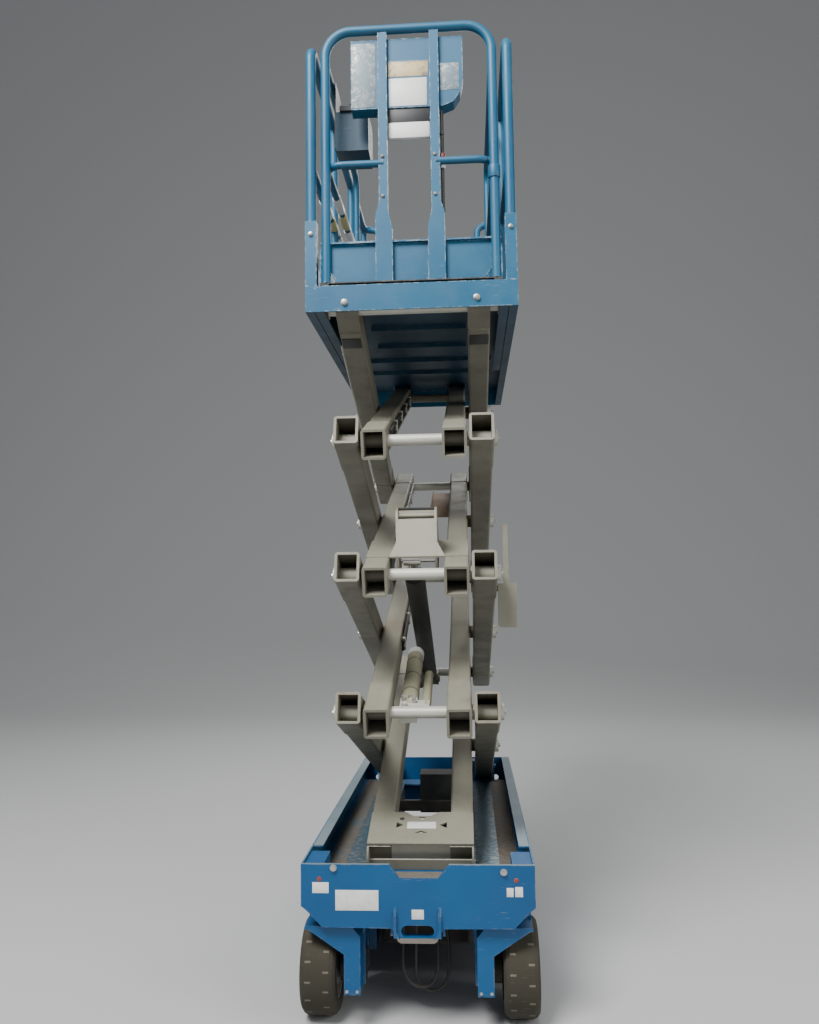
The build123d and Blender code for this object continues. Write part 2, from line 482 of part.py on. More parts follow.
HOSE_R = 5.0
HOSES = {"hose_front_1": [(-12, -722, 400), (-12, -722, 305), (-17, -728, 190), (-18, -735, 103.6), (13.6, -741, 72), (58.4, -741, 72), (90, -733, 103.6), (92, -718, 190), (84, -700, 305), (84, -700, 400)],
         "hose_front_2": [(-56, -700, 400), (-56, -700, 310), (-62, -716, 205), (-60, -738, 123.4), (-26.6, -752, 90), (20.6, -764, 90), (54, -768, 123.4), (60, -758, 205), (50, -722, 310), (50, -722, 400)]}
for name, points in HOSES.items():
    save(name, hose(name, points, HOSE_R))

# ---- platform -----------------------------------------------------------------------
Z_SHEET = Z_DECK - DECK_T
deck = [box(-P_HALF, P_HALF, P_Y0, P_Y1, Z_SHEET, Z_DECK)]
deck += [box(-P_HALF, P_HALF, y, y + 6, Z_BAND0, Z_DECK) for y in (P_Y0, P_Y1 - 6)]
deck += [box(-w, w, y, y + 40, Z_SHEET - 16, Z_SHEET) for y, w in ((-560, 190), (-300, 190), (-40, 190), (200, 300), (430, 300))]
for s in (1, -1):
    deck.append(box(*sx(s, P_HALF - 5, P_HALF), P_Y0, P_Y1, Z_BAND0, Z_SHEET))
    deck.append(box(*sx(s, P_HALF - 30, P_HALF), P_Y0, P_Y1, Z_BAND0, Z_BAND0 + 5))
    y1, xt = P_Y0 + 906, SLIDE_X[1] + FIT
    deck.append(box(*sx(s, xt, xt + 6), P_Y0, y1, Z_J4 - TRACK_R - 6, Z_SHEET))
    deck.append(box(*sx(s, xt - 26, xt), P_Y0, y1, Z_J4 - TRACK_R - 6, Z_J4 - TRACK_R))
    deck.append(box(*sx(s, xt - 26, xt), P_Y0, y1, Z_J4 + TRACK_R, Z_J4 + TRACK_R + 6))
    for a, b in ((88.0, IN_X0 - FIT), (IN_X1 + FIT, 192.0)):
        lug = outline_yz([(Y_F - 60, Z_SHEET), (Y_F - 30, Z_J4), (Y_F + 30, Z_J4), (Y_F + 60, Z_SHEET)], *sx(s, a, b))
        deck.append(lug + cyl_x(*sx(s, a, b), Y_F, Z_J4, 30))
    deck.append(cyl_x(*sx(s, 82, 198), Y_F, Z_J4, SHAFT_R))
save("platform_deck", fuse(deck))

XR = P_HALF - RAIL_R - 1
rails = []
for s in (1, -1):
    run = [(s * XR, P_Y0 + 20, Z_DECK), (s * XR, P_Y0 + 20, Z_RAIL), (s * XR, P_Y1 - 20, Z_RAIL), (s * (GATE_X + 40), P_Y1 - 20, Z_RAIL), (s * (GATE_X + 40), P_Y1 - 20, Z_DECK)]
    rails.append(tube_run(run, RAIL_R, 45))
    rails.append(cyl_y(P_Y0 + 20, P_Y1 - 20, s * XR, Z_MID, 15))
    rails.append(cyl_x(*sx(s, GATE_X + 40, XR), P_Y1 - 20, Z_MID, 15))
    for y in POST_Y[1:]:
        rails.append(cyl_z(Z_DECK, Z_RAIL, s * XR, y, RAIL_R - 1))
    for y in POST_Y:
        rails.append(box(*sx(s, XR - 21, P_HALF), y - 20, y + 20, Z_DECK, Z_DECK + 235))
    rails.append(box(*sx(s, P_HALF - 6, P_HALF), P_Y0 + 4, P_Y1 - 4, Z_DECK, Z_DECK + 150))
    rails.append(box(*sx(s, GATE_X + 26, P_HALF), P_Y1 - 8, P_Y1 - 3, Z_DECK, Z_DECK + 150))
    # gate lugs
    for z in (Z_DECK + 160, Z_RAIL - 62):
        lug = outline_xy([(s * (GATE_X - 12), P_Y1 - 32), (s * (GATE_X + 30), P_Y1 - 32), (s * (GATE_X + 30), P_Y1 - 8), (s * (GATE_X - 12), P_Y1 - 8)], z, z + 6)
        if s < 0:
            rails.append(lug + (cyl_z(z, z + 30, s * GATE_X, P_Y1 - 20, 7) if z < 3000 else cyl_z(z - 24, z + 6, s * GATE_X, P_Y1 - 20, 7)))
print("rails")
side_rails = fuse(rails)
save("platform_rails", side_rails)

gz0, gz1 = Z_DECK + 166 + FIT, Z_RAIL - 62 - FIT
gate = [cyl_z(gz0, gz1, -GATE_X, P_Y1 - 20, GATE_R), cyl_z(gz0, gz1 - 20, GATE_X, P_Y1 - 20, GATE_R)]
gate += [cyl_x(-GATE_X, GATE_X, P_Y1 - 20, z, GATE_R - 1) for z in (gz1 - 24, Z_MID)]
gate.append(outline_xz([(-GATE_X + 18, Z_DECK + 12), (GATE_X, Z_DECK + 12), (GATE_X, gz0 + 60), (-GATE_X, gz0 + 60), (-GATE_X, gz0 + 4), (-GATE_X + 18, gz0 + 4)], P_Y1 - 23, P_Y1 - 17))
gate_body = fuse(gate) - cyl_z(gz0 - 1, gz1 + 1, -GATE_X, P_Y1 - 20, 7 + FIT)
save("entry_gate", gate_body)

# ---- roll-out extension -------------------------------------------------------------
ext = box(-E_HALF, E_HALF, E_Y0, E_Y1, E_Z - 4, E_Z)
for s in (1, -1):
    ext = ext + box(*sx(s, E_HALF - 30, E_HALF), E_Y0, E_Y1, Z_DECK + FIT, E_Z - 4)
save("extension_deck", ext)
er = [tube_run([(-HOOP_X, HOOP_Y, E_Z), (-HOOP_X, HOOP_Y, HOOP_Z), (HOOP_X, HOOP_Y, HOOP_Z), (HOOP_X, HOOP_Y, E_Z)], HOOP_R, 95)]
for s in (1, -1):
    # centre post: narrow above, a wide foot below that steps outward
    post = [(s * 76, HOOP_Z), (s * 108, HOOP_Z), (s * 108, 2735), (s * 122, 2690), (s * 122, E_Z), (s * 62, E_Z), (s * 62, 2640), (s * 76, 2700)]
    er.append(outline_xz(post, HOOP_Y - 9, HOOP_Y + 9))
    side = [(s * 92, HOOP_Y, Z_MID), (s * HOOP_X, HOOP_Y, Z_MID), (s * HOOP_X, E_Y1 - 16, Z_MID)]
    er.append(tube_run(side, 13, 60))
    er.append(tube_run([(s * HOOP_X, HOOP_Y, HOOP_Z - 118), (s * HOOP_X, E_Y1 - 16, HOOP_Z - 118), (s * HOOP_X, E_Y1 - 16, E_Z)], 13.5, 60))
    er.append(box(*sx(s, E_HALF - 5, E_HALF), E_Y0 + 4, E_Y1, E_Z, E_Z + 120))
half = E_HALF - 2
board = [(64 - half, E_Z), (half - 64, E_Z), (half, E_Z + 90), (half, E_Z + BOARD_H), (-half, E_Z + BOARD_H), (-half, E_Z + 90)]
er.append(outline_xz(board, HOOP_Y + 9, HOOP_Y + 14) + box(-half, half, HOOP_Y - 4, HOOP_Y + 14, E_Z + BOARD_H - 6, E_Z + BOARD_H))
print("ext rails")
save("extension_rails", fuse(er))

YB = HOOP_Y + 9 + FIT
panel_box = [(x, HOOP_Z - drop) for x, drop in ((-206, 288), (120, 288), (160, 272), (184, 236), (194, 186), (194, 30), (-206, 30))]
save("rail_box", outline_xz(panel_box, YB, YB + 60))
cx = -(HOOP_X - 13.5 - FIT)
CONTROL_Z = HOOP_Z - 226      # lid of the control box
control = box(cx, cx + 5, -640, -500, CONTROL_Z - 140, HOOP_Z - 110) + box(cx + 5, cx + 125, -640, -490, CONTROL_Z - 150, CONTROL_Z)
control = control + box(cx + 20, cx + 110, -650, -500, CONTROL_Z, CONTROL_Z + 18)
save("control_box", control + cyl_z(CONTROL_Z + 10, CONTROL_Z + 65, cx + 60, -570, 13))

# ---- safety prop on the right outer arm of stage 2 ------------------------------------
PY, PZ, PX = -600.0, 1392.0, (283.0, 349.0)
prop = box(*PX, PY - 4, PY + 2, PZ - 150, PZ + 6)
for x in (PX[0], PX[1] - 4):
    prop = prop + box(x, x + 4, PY + 2, PY + 26, PZ - 150, PZ + 6)
prop = prop - outline_xz([(270, PZ - 160), (297, PZ - 160), (270, PZ - 130)], PY - 10, PY + 30)
prop = prop + box(303, 321, PY - 4, PY + 8, PZ, PZ + 214) + cyl_x(OUT_X1 + SLEEVE + FIT, PX[1], PY + 14, PZ - 12, 11)
save("safety_prop", prop)
print("theta", THETA, "Y_N", Y_N, "Y_F", Y_F, "cyl", CYL_LEN, CYL_ANGLE, "base", BASE, "eye", EYE)
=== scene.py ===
"""Slab scissor lift: finishes, fittings, labels, light and camera around the built frame."""

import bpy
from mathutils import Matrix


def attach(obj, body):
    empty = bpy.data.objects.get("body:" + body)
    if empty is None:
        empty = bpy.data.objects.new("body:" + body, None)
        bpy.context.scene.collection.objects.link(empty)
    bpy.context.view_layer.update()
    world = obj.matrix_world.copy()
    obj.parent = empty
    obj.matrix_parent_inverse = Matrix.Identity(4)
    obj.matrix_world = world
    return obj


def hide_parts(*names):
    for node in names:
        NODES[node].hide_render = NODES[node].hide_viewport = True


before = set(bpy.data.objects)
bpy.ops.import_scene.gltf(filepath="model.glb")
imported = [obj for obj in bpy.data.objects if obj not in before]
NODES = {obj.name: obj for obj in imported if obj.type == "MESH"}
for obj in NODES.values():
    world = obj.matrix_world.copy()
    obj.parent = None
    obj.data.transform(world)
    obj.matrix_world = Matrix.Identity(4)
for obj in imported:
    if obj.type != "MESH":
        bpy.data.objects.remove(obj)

import logging
import math
from dataclasses import dataclass
from enum import Enum
from typing import Callable, Sequence

import bpy
from mathutils import Matrix, Vector

LOG = logging.getLogger("scissor_lift")
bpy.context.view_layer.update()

Point = tuple[float, float, float]
Colour = tuple[float, float, float]
Span = tuple[float, float]
Edges = tuple[float, float, float, float]
Place = Callable[[Vector], bool]


class Body(str, Enum):
    """The moving bodies of the lift that fittings ride on."""

    CHASSIS = "chassis"
    OUTER_1 = "outer_arms_1"
    OUTER_2 = "outer_arms_2"
    OUTER_3 = "outer_arms_3"
    OUTER_4 = "outer_arms_4"
    INNER_1 = "inner_arms_1"
    INNER_2 = "inner_arms_2"
    INNER_3 = "inner_arms_3"
    INNER_4 = "inner_arms_4"
    MODULE_LEFT = "module_left"
    MODULE_RIGHT = "module_right"
    PLATFORM = "platform"
    EXTENSION = "extension"
    GATE = "gate"
    YOKE_LEFT = "yoke_left"
    YOKE_RIGHT = "yoke_right"
    WHEEL_FRONT_LEFT = "wheel_front_left"
    WHEEL_FRONT_RIGHT = "wheel_front_right"
    WHEEL_REAR_LEFT = "wheel_rear_left"
    WHEEL_REAR_RIGHT = "wheel_rear_right"


class Slot(str, Enum):
    """Material slots of the record."""

    BLUE = "blue_paint"
    TAN = "tan_paint"
    STEEL = "steel"
    BLACK = "black_plastic"
    TYRE = "tyre"


# ---- shader wiring --------------------------------------------------------------------
NODE_SETTINGS = {"operation", "data_type", "samples", "clamp"}


class Wiring:
    """Places shader nodes in a tree and links them up."""

    def __init__(self, tree: bpy.types.NodeTree) -> None:
        """Takes the tree that the nodes go into."""
        self.tree = tree

    def feed(self, slot: bpy.types.NodeSocket, value: object) -> None:
        """Links an input to an output socket, or sets its value.

        Args:
            slot: the input.
            value: an output socket, a colour, or any other value that the input takes.
        """
        if isinstance(value, bpy.types.NodeSocket):
            self.tree.links.new(value, slot)
        else:
            slot.default_value = (*value, 1.0) if slot.type == "RGBA" else value

    def node(self, kind: str, **inputs: object) -> bpy.types.Node:
        """Adds a shader node.

        Args:
            kind: node type without the ShaderNode prefix.
            inputs: value of each setting or input, with spaces in its name as underscores,
                or i0, i1 and so on for an input that is known by its number.

        Returns:
            The node.
        """
        node = self.tree.nodes.new("ShaderNode" + kind)
        for key, value in inputs.items():
            if key in NODE_SETTINGS:
                setattr(node, key, value)
            else:
                which = int(key[1:]) if key[1:].isdigit() else key.replace("_", " ")
                self.feed(node.inputs[which], value)
        return node

    def use(self, group: bpy.types.NodeTree, **inputs: object) -> bpy.types.NodeOutputs:
        """Places a node group.

        Args:
            group: the group's tree.
            inputs: value or socket of each input.

        Returns:
            The outputs of the placed group.
        """
        node = self.tree.nodes.new("ShaderNodeGroup")
        node.node_tree = group
        for key, value in inputs.items():
            self.feed(node.inputs[key], value)
        return node.outputs

    def maths(self, operation: str, first: object, second: object) -> bpy.types.NodeSocket:
        """Result of one arithmetic step on two values or sockets."""
        return self.node("Math", operation=operation, i0=first, i1=second).outputs[0]

    def plus(self, first: object, second: object) -> bpy.types.NodeSocket:
        """Sum of two values or sockets."""
        return self.maths("ADD", first, second)

    def minus(self, first: object, second: object) -> bpy.types.NodeSocket:
        """Difference of two values or sockets."""
        return self.maths("SUBTRACT", first, second)

    def times(self, first: object, second: object) -> bpy.types.NodeSocket:
        """Product of two values or sockets."""
        return self.maths("MULTIPLY", first, second)

    def clamp(self, value: object, high: float = 1.0) -> bpy.types.NodeSocket:
        """A value held between 0 and a highest value."""
        return self.node("Clamp", Value=value, Max=high).outputs["Result"]

    def ramp(self, value: bpy.types.NodeSocket, low: float, high: float) -> bpy.types.NodeSocket:
        """Stretches a value so that low gives 0 and high gives 1, and holds it there."""
        node = self.node("MapRange", clamp=True, Value=value, From_Min=low, From_Max=high)
        return node.outputs["Result"]

    def blend(self, share: bpy.types.NodeSocket, first: object, second: object) -> bpy.types.NodeSocket:
        """Mixes two colours or sockets, with share as the part of the second."""
        return self.node("Mix", data_type="RGBA", i0=share, i6=first, i7=second).outputs[2]

    def noise(
        self, place: bpy.types.NodeSocket, scale: object, detail: float, rough: float = 0.5
    ) -> bpy.types.NodeSocket:
        """A cloudy pattern: its place, fineness, finer layers and their strength."""
        node = self.node("TexNoise", Vector=place, Scale=scale, Detail=detail, Roughness=rough)
        return node.outputs["Fac"]


class NodeGroup(Wiring):
    """A shader node group, made once and placed in each material that needs it."""

    def __init__(self, name: str, inputs: dict[str, float], outputs: Sequence[str]) -> None:
        """Starts a group with a Vector input and its other sockets.

        Args:
            name: the group's name.
            inputs: default of each other input.
            outputs: name of each output.
        """
        super().__init__(bpy.data.node_groups.new(name, "ShaderNodeTree"))
        self.socket("Vector", "INPUT", "Vector")
        for key, value in inputs.items():
            self.socket(key, "INPUT").default_value = value
        for key in outputs:
            self.socket(key, "OUTPUT")
        self.given = self.tree.nodes.new("NodeGroupInput").outputs
        self.results = self.tree.nodes.new("NodeGroupOutput").inputs

    def socket(self, name: str, way: str, kind: str = "Float") -> bpy.types.NodeTreeInterfaceSocket:
        """Adds a socket to the group's outside."""
        return self.tree.interface.new_socket(name=name, in_out=way, socket_type="NodeSocket" + kind)

    def give(self, **sockets: bpy.types.NodeSocket) -> bpy.types.NodeTree:
        """Links the outputs.

        Args:
            sockets: the socket inside the group for each output.

        Returns:
            The finished tree.
        """
        for key, value in sockets.items():
            self.feed(self.results[key], value)
        return self.tree


def make_dust_and_shade_group() -> bpy.types.NodeTree:
    """Dust that settles on faces that look up and in patches, and painted shade that darkens the faces
    that look down.

    Returns:
        The group's tree.
    """
    group = NodeGroup("dust", {"Amount": 0.5, "Scale": 9.0}, ("Dust", "Patch", "Grime"))
    place = group.given["Vector"]
    patch = group.ramp(group.noise(place, group.given["Scale"], 6.0, 0.62), 0.42, 0.68)
    grain = group.ramp(group.noise(place, 160.0, 3.0), 0.3, 0.75)
    normal = group.node("NewGeometry").outputs["Normal"]
    facing = group.node("SeparateXYZ", Vector=normal).outputs["Z"]
    settled = group.plus(group.times(group.ramp(facing, 0.2, 0.95), 0.75), group.times(patch, 0.6))
    speckled = group.times(settled, group.plus(group.times(grain, 0.5), 0.5))
    uneven = group.plus(group.times(patch, 0.3), 0.7)
    return group.give(
        Dust=group.times(speckled, group.given["Amount"]),
        Patch=patch,
        # painted shade: faces that look down are darkened, unevenly in patches
        Grime=group.times(group.ramp(facing, -0.1, -0.8), uneven),
    )


def make_wear_group() -> bpy.types.NodeTree:
    """Worn paint: chips along edges, stray spots, long scratches and stains.

    Returns:
        The group's tree.
    """
    outputs = ("Chips", "Scratches", "Stains", "Height")
    group = NodeGroup("wear", {"Edge": 0.5, "Spots": 0.5}, outputs)
    place = group.given["Vector"]
    soft = group.node("Bevel", samples=4, Radius=0.006).outputs["Normal"]
    sharp = group.node("NewGeometry").outputs["Normal"]
    agree = group.node("VectorMath", operation="DOT_PRODUCT", i0=soft, i1=sharp).outputs["Value"]
    ragged = group.noise(place, 46.0, 5.0, 0.7)
    patch = group.noise(place, 6.0, 2.0)
    chips = group.times(group.ramp(agree, 0.995, 0.80), group.ramp(ragged, 0.48, 0.60))
    chips = group.times(chips, group.times(group.given["Edge"], 1.6))
    spots = group.times(group.ramp(ragged, 0.665, 0.70), group.ramp(patch, 0.50, 0.62))
    worn = group.clamp(group.plus(chips, group.times(spots, group.given["Spots"])))
    stretched = group.node(
        "Mapping", Vector=place, Rotation=(0.5, 0.7, 0.4), Scale=(18.0, 260.0, 260.0))
    lines = group.noise(stretched.outputs["Vector"], 1.0, 2.0)
    thin = group.times(group.ramp(lines, 0.66, 0.72), group.ramp(patch, 0.45, 0.65))
    shifted = group.node("Mapping", Vector=place, Location=(3.1, 1.7, 0.4), Scale=(9.0, 3.0, 5.0))
    blotch = group.noise(shifted.outputs["Vector"], 1.0, 6.0, 0.65)
    return group.give(
        Chips=worn,
        Scratches=thin,
        Stains=group.ramp(blotch, 0.56, 0.70),
        Height=group.minus(1.0, group.plus(worn, group.times(thin, 0.4))),
    )


def make_grain_group() -> bpy.types.NodeTree:
    """Fine unevenness of a surface, such as orange peel, and its broad change of tone.

    Returns:
        The group's tree.
    """
    group = NodeGroup("grain", {"Scale": 300.0}, ("Height", "Tone"))
    place = group.given["Vector"]
    return group.give(
        Height=group.noise(place, group.given["Scale"], 3.0),
        Tone=group.ramp(group.noise(place, 3.5, 4.0), 0.3, 0.7),
    )


class Groups:
    """The node groups, each made once."""

    # the dust group also gives the painted shade of faces that look down
    dust: bpy.types.NodeTree
    wear: bpy.types.NodeTree
    grain: bpy.types.NodeTree

    @classmethod
    def make(cls) -> None:
        """Makes every group."""
        cls.dust, cls.wear, cls.grain = make_dust_and_shade_group(), make_wear_group(), make_grain_group()


# ---- finishes -------------------------------------------------------------------------
DUST_ROUGH, PATCH_ROUGH, ROUGHEST = 0.45, 0.08, 0.95
BUMP_STRENGTH, BUMP_DEPTH = 0.35, 0.0012
PAINTED_SHADE_LEFT = 0.12        # share of the base colour that the painted shade on faces looking down leaves


@dataclass(frozen=True)
class Finish:
    """A surface finish: two tones of the base, what shows where it is worn, dust, and painted shade on
    faces that look down.

    Attributes:
        name: material name.
        base: main colour, linear.
        second: colour of the faded or darker patches.
        bare: colour under the worn places.
        dust_tone: colour of the dust.
        rough: roughness of the clean surface.
        metal: how metallic the clean surface is.
        bare_metal: how metallic the worn places are.
        edge: how far the edges are chipped.
        spots: how many stray spots are worn.
        dust: how much dust lies on it.
        grain: scale of the fine unevenness.
        bump: depth of the fine unevenness.
        scratch: how strongly scratches show.
        stain: how strongly stains show.
        stain_tone: colour of the stains.
        painted_shade: how far the painted shade darkens the faces that look down.
    """

    name: str
    base: Colour
    second: Colour
    bare: Colour = (0.22, 0.20, 0.18)
    dust_tone: Colour = (0.30, 0.27, 0.22)
    rough: float = 0.45
    metal: float = 0.0
    bare_metal: float = 0.0
    edge: float = 0.5
    spots: float = 0.5
    dust: float = 0.4
    grain: float = 320.0
    bump: float = 0.08
    scratch: float = 0.3
    stain: float = 0.0
    stain_tone: Colour = (0.16, 0.085, 0.045)
    painted_shade: float = 0.45

    def build(self) -> bpy.types.Material:
        """Makes the material, or returns it if it is already there.

        Returns:
            The material.
        """
        found = bpy.data.materials.get("finish_" + self.name)
        if found:
            return found
        material = bpy.data.materials.new("finish_" + self.name)
        material.use_nodes = True
        material.node_tree.nodes.clear()
        wire = Wiring(material.node_tree)
        shader = wire.node("BsdfPrincipled")
        wire.node("OutputMaterial", Surface=shader.outputs["BSDF"])
        place = wire.node("TexCoord").outputs["Object"]
        grain = wire.use(Groups.grain, Vector=place, Scale=self.grain)
        wear = wire.use(Groups.wear, Vector=place, Edge=self.edge, Spots=self.spots)
        dust = wire.use(Groups.dust, Vector=place, Amount=self.dust)
        layers = (
            (wire.times(wear["Scratches"], self.scratch), tuple(0.5 * c + 0.25 for c in self.base)),
            (wire.times(wear["Stains"], self.stain), self.stain_tone),
            (wear["Chips"], self.bare),
            (dust["Dust"], self.dust_tone),
            # painted shade: faces that look down are darkened towards a small share of the base colour
            (wire.times(dust["Grime"], self.painted_shade), tuple(PAINTED_SHADE_LEFT * c for c in self.base)),
        )
        colour = wire.blend(grain["Tone"], self.base, self.second)
        for share, tone in layers:
            colour = wire.blend(share, colour, tone)
        wire.feed(shader.inputs["Base Color"], colour)
        dusty = wire.plus(wire.times(dust["Dust"], DUST_ROUGH), wire.times(dust["Patch"], PATCH_ROUGH))
        wire.feed(shader.inputs["Roughness"], wire.clamp(wire.plus(dusty, self.rough), ROUGHEST))
        if self.metal or self.bare_metal:
            metal = wire.plus(self.metal, wire.times(wear["Chips"], self.bare_metal - self.metal))
            metal = wire.times(metal, wire.minus(1.0, dust["Dust"]))
            wire.feed(shader.inputs["Metallic"], wire.clamp(metal))
        height = wire.plus(wear["Height"], wire.times(grain["Height"], self.bump))
        bump = wire.node("Bump", Height=height, Strength=BUMP_STRENGTH, Distance=BUMP_DEPTH)
        wire.feed(shader.inputs["Normal"], bump.outputs["Normal"])
        return material


BLUE = Finish(
    "blue_paint", (0.0, 0.066, 0.190), (0.0, 0.088, 0.240), bare=(0.24, 0.26, 0.26),
    dust_tone=(0.09, 0.17, 0.22), rough=0.42, bare_metal=0.6, edge=0.6, spots=0.4, dust=0.06, bump=0.05)
FADED_BLUE = Finish(
    "faded_blue_paint", (0.0, 0.082, 0.175), (0.006, 0.108, 0.205), bare=(0.36, 0.41, 0.41),
    dust_tone=(0.18, 0.25, 0.29), bare_metal=0.6, edge=0.9, spots=0.8, dust=0.14, bump=0.05, stain=0.04)
PALE_BLUE = Finish(
    "pale_blue_paint", (0.095, 0.165, 0.205), (0.19, 0.245, 0.275), bare=(0.38, 0.39, 0.36),
    dust_tone=(0.27, 0.28, 0.27), bare_metal=0.6, edge=0.6, spots=0.9, dust=0.3, stain=0.1)
DARK_BLUE = Finish(
    "dark_blue_paint", (0.003, 0.040, 0.078), (0.004, 0.055, 0.102), rough=0.5, bare_metal=0.6,
    dust=0.15, stain=0.1)
# khaki gets strong painted shade on the faces that look down
KHAKI = Finish(
    "khaki_paint", (0.178, 0.170, 0.126), (0.238, 0.228, 0.175), bare=(0.36, 0.34, 0.28),
    dust_tone=(0.33, 0.305, 0.235), rough=0.52, bare_metal=0.1, spots=0.35, dust=0.42,
    stain=0.45, stain_tone=(0.17, 0.095, 0.05), painted_shade=0.62)
PALE_STEEL = Finish(
    "pale_steel", (0.66, 0.65, 0.58), (0.52, 0.51, 0.44), bare=(0.18, 0.12, 0.07), rough=0.40,
    metal=0.2, bare_metal=0.3, edge=0.3, spots=0.35, dust=0.25, stain=0.12)
BARE_STEEL = Finish(
    "bare_steel", (0.17, 0.155, 0.13), (0.24, 0.22, 0.19), bare=(0.12, 0.07, 0.04), rough=0.5,
    metal=0.3, bare_metal=0.2, edge=0.4, spots=0.8, dust=0.3, stain=0.5)
ZINC = Finish(
    "zinc", (0.56, 0.55, 0.51), (0.44, 0.43, 0.40), rough=0.32, metal=0.7, bare_metal=0.8,
    edge=0.2, spots=0.2, dust=0.2)
DARK_STEEL = Finish(
    "dark_steel", (0.028, 0.027, 0.026), (0.045, 0.042, 0.038), rough=0.6, metal=0.3,
    bare_metal=0.4, dust=0.25, stain=0.15)
CHROME = Finish(
    "chromed_rod", (0.62, 0.62, 0.60), (0.55, 0.55, 0.53), rough=0.12, metal=1.0, bare_metal=1.0,
    edge=0.0, spots=0.05, dust=0.06, bump=0.01, painted_shade=0.1)
BLACK = Finish(
    "black_plastic", (0.014, 0.015, 0.017), (0.022, 0.023, 0.025), bare=(0.08, 0.08, 0.08),
    rough=0.5, edge=0.25, spots=0.1, dust=0.2, grain=700.0, bump=0.2)
RUBBER = Finish(
    "solid_rubber", (0.030, 0.026, 0.017), (0.042, 0.036, 0.024), bare=(0.10, 0.085, 0.06),
    dust_tone=(0.082, 0.072, 0.050), rough=0.85, spots=0.8, dust=0.55, grain=420.0, bump=0.35,
    stain=0.15, stain_tone=(0.09, 0.045, 0.025), painted_shade=0.2)
TREAD = Finish(
    "tread_bar", (0.115, 0.100, 0.072), (0.16, 0.14, 0.105), bare=(0.2, 0.17, 0.13), rough=0.85,
    edge=0.4, spots=0.8, dust=0.3, grain=420.0, bump=0.3, stain=0.1, painted_shade=0.2)
RIM = Finish(
    "rim_paint", (0.33, 0.32, 0.30), (0.26, 0.25, 0.23), rough=0.5, bare_metal=0.6, dust=0.5,
    stain=0.3)
BATTERY = Finish("battery_case", (0.02, 0.02, 0.022), (0.03, 0.03, 0.03), rough=0.6, dust=0.5)
LABEL = Finish(
    "label", (0.80, 0.80, 0.78), (0.70, 0.70, 0.67), bare=(0.45, 0.44, 0.40), rough=0.4,
    edge=0.15, spots=0.25, dust=0.08, bump=0.02, stain=0.06, painted_shade=0.2)
SHINY_TRACK = Finish(
    "worn_track", (0.050, 0.115, 0.150), (0.030, 0.100, 0.165), bare=(0.34, 0.34, 0.31),
    dust_tone=(0.20, 0.21, 0.20), rough=0.34, metal=0.45, bare_metal=0.7, spots=0.8, dust=0.2,
    scratch=0.7, stain=0.35, stain_tone=(0.14, 0.12, 0.09))
RUST = Finish(
    "rusty_floor", (0.085, 0.062, 0.042), (0.040, 0.085, 0.110), bare=(0.20, 0.13, 0.075),
    dust_tone=(0.19, 0.17, 0.14), rough=0.8, edge=0.4, spots=0.8, dust=0.3, bump=0.4, stain=0.7,
    stain_tone=(0.13, 0.075, 0.038))
RUSTY_KHAKI = Finish(
    "rusty_khaki", (0.36, 0.20, 0.105), (0.40, 0.29, 0.18), bare=(0.38, 0.15, 0.06), rough=0.7,
    edge=0.4, spots=1.0, dust=0.25, stain=0.9, stain_tone=(0.34, 0.16, 0.075))
CREAM = Finish(
    "cream_paint", (0.53, 0.52, 0.42), (0.44, 0.425, 0.34), bare=(0.20, 0.11, 0.06), rough=0.5,
    edge=0.4, spots=0.4, dust=0.15, stain=0.12)
TAN_CASE = Finish(
    "tan_case", (0.31, 0.295, 0.185), (0.38, 0.36, 0.235), bare=(0.12, 0.08, 0.05), rough=0.5,
    edge=0.3, spots=0.4, dust=0.3, stain=0.25)
AMBER = Finish("amber_stripe", (0.55, 0.36, 0.10), (0.60, 0.50, 0.30), dust=0.2, spots=0.9, stain=0.15)
YELLOW = Finish("yellow_sleeve", (0.62, 0.55, 0.16), (0.70, 0.67, 0.45), rough=0.5, dust=0.15)
RED = Finish("red_marker", (0.30, 0.035, 0.025), (0.22, 0.04, 0.03), rough=0.4, dust=0.25)
HOSE = Finish(
    "black_hose", (0.014, 0.014, 0.014), (0.022, 0.021, 0.020), bare=(0.06, 0.06, 0.06), rough=0.5,
    edge=0.1, spots=0.1, dust=0.25)


# ---- modelling helpers ----------------------------------------------------------------
THIN_SHARE = 0.3        # most of a thin side that its rounding may take up
SMOOTH_ANGLE = math.radians(35)
QUARTER = math.pi / 2
AXES: dict[str, Point] = {"x": (0.0, QUARTER, 0.0), "y": (QUARTER, 0.0, 0.0), "z": (0.0, 0.0, 0.0)}
STEPS: dict[str, Point] = {"x": (1.0, 0.0, 0.0), "y": (0.0, 1.0, 0.0), "z": (0.0, 0.0, 1.0)}


def deselect() -> None:
    """Leaves edit mode and selects nothing."""
    if bpy.context.object and bpy.context.object.mode != "OBJECT":
        bpy.ops.object.mode_set(mode="OBJECT")
    bpy.ops.object.select_all(action="DESELECT")


def choose(*pieces: bpy.types.Object) -> None:
    """Selects pieces and nothing else, and makes the first one active."""
    deselect()
    for piece in pieces:
        piece.select_set(True)
    bpy.context.view_layer.objects.active = pieces[0]


def settle(piece: bpy.types.Object, name: str) -> bpy.types.Object:
    """Names a new primitive and puts its place in its mesh.

    Args:
        piece: the new object.
        name: its name.

    Returns:
        The object.
    """
    piece.name = piece.data.name = name
    choose(piece)
    bpy.ops.object.transform_apply(location=True, rotation=True, scale=True)
    return piece


def round_edges(piece: bpy.types.Object, width: float, segments: int, angle: float) -> None:
    """Bevels the sharp edges.

    Args:
        piece: the object.
        width: bevel width in metres.
        segments: bevel segments.
        angle: edges sharper than this many degrees are bevelled.
    """
    choose(piece)
    bevel = piece.modifiers.new("rounded", "BEVEL")
    bevel.width, bevel.segments = width, segments
    bevel.limit_method, bevel.angle_limit = "ANGLE", math.radians(angle)
    bpy.ops.object.modifier_apply(modifier=bevel.name)


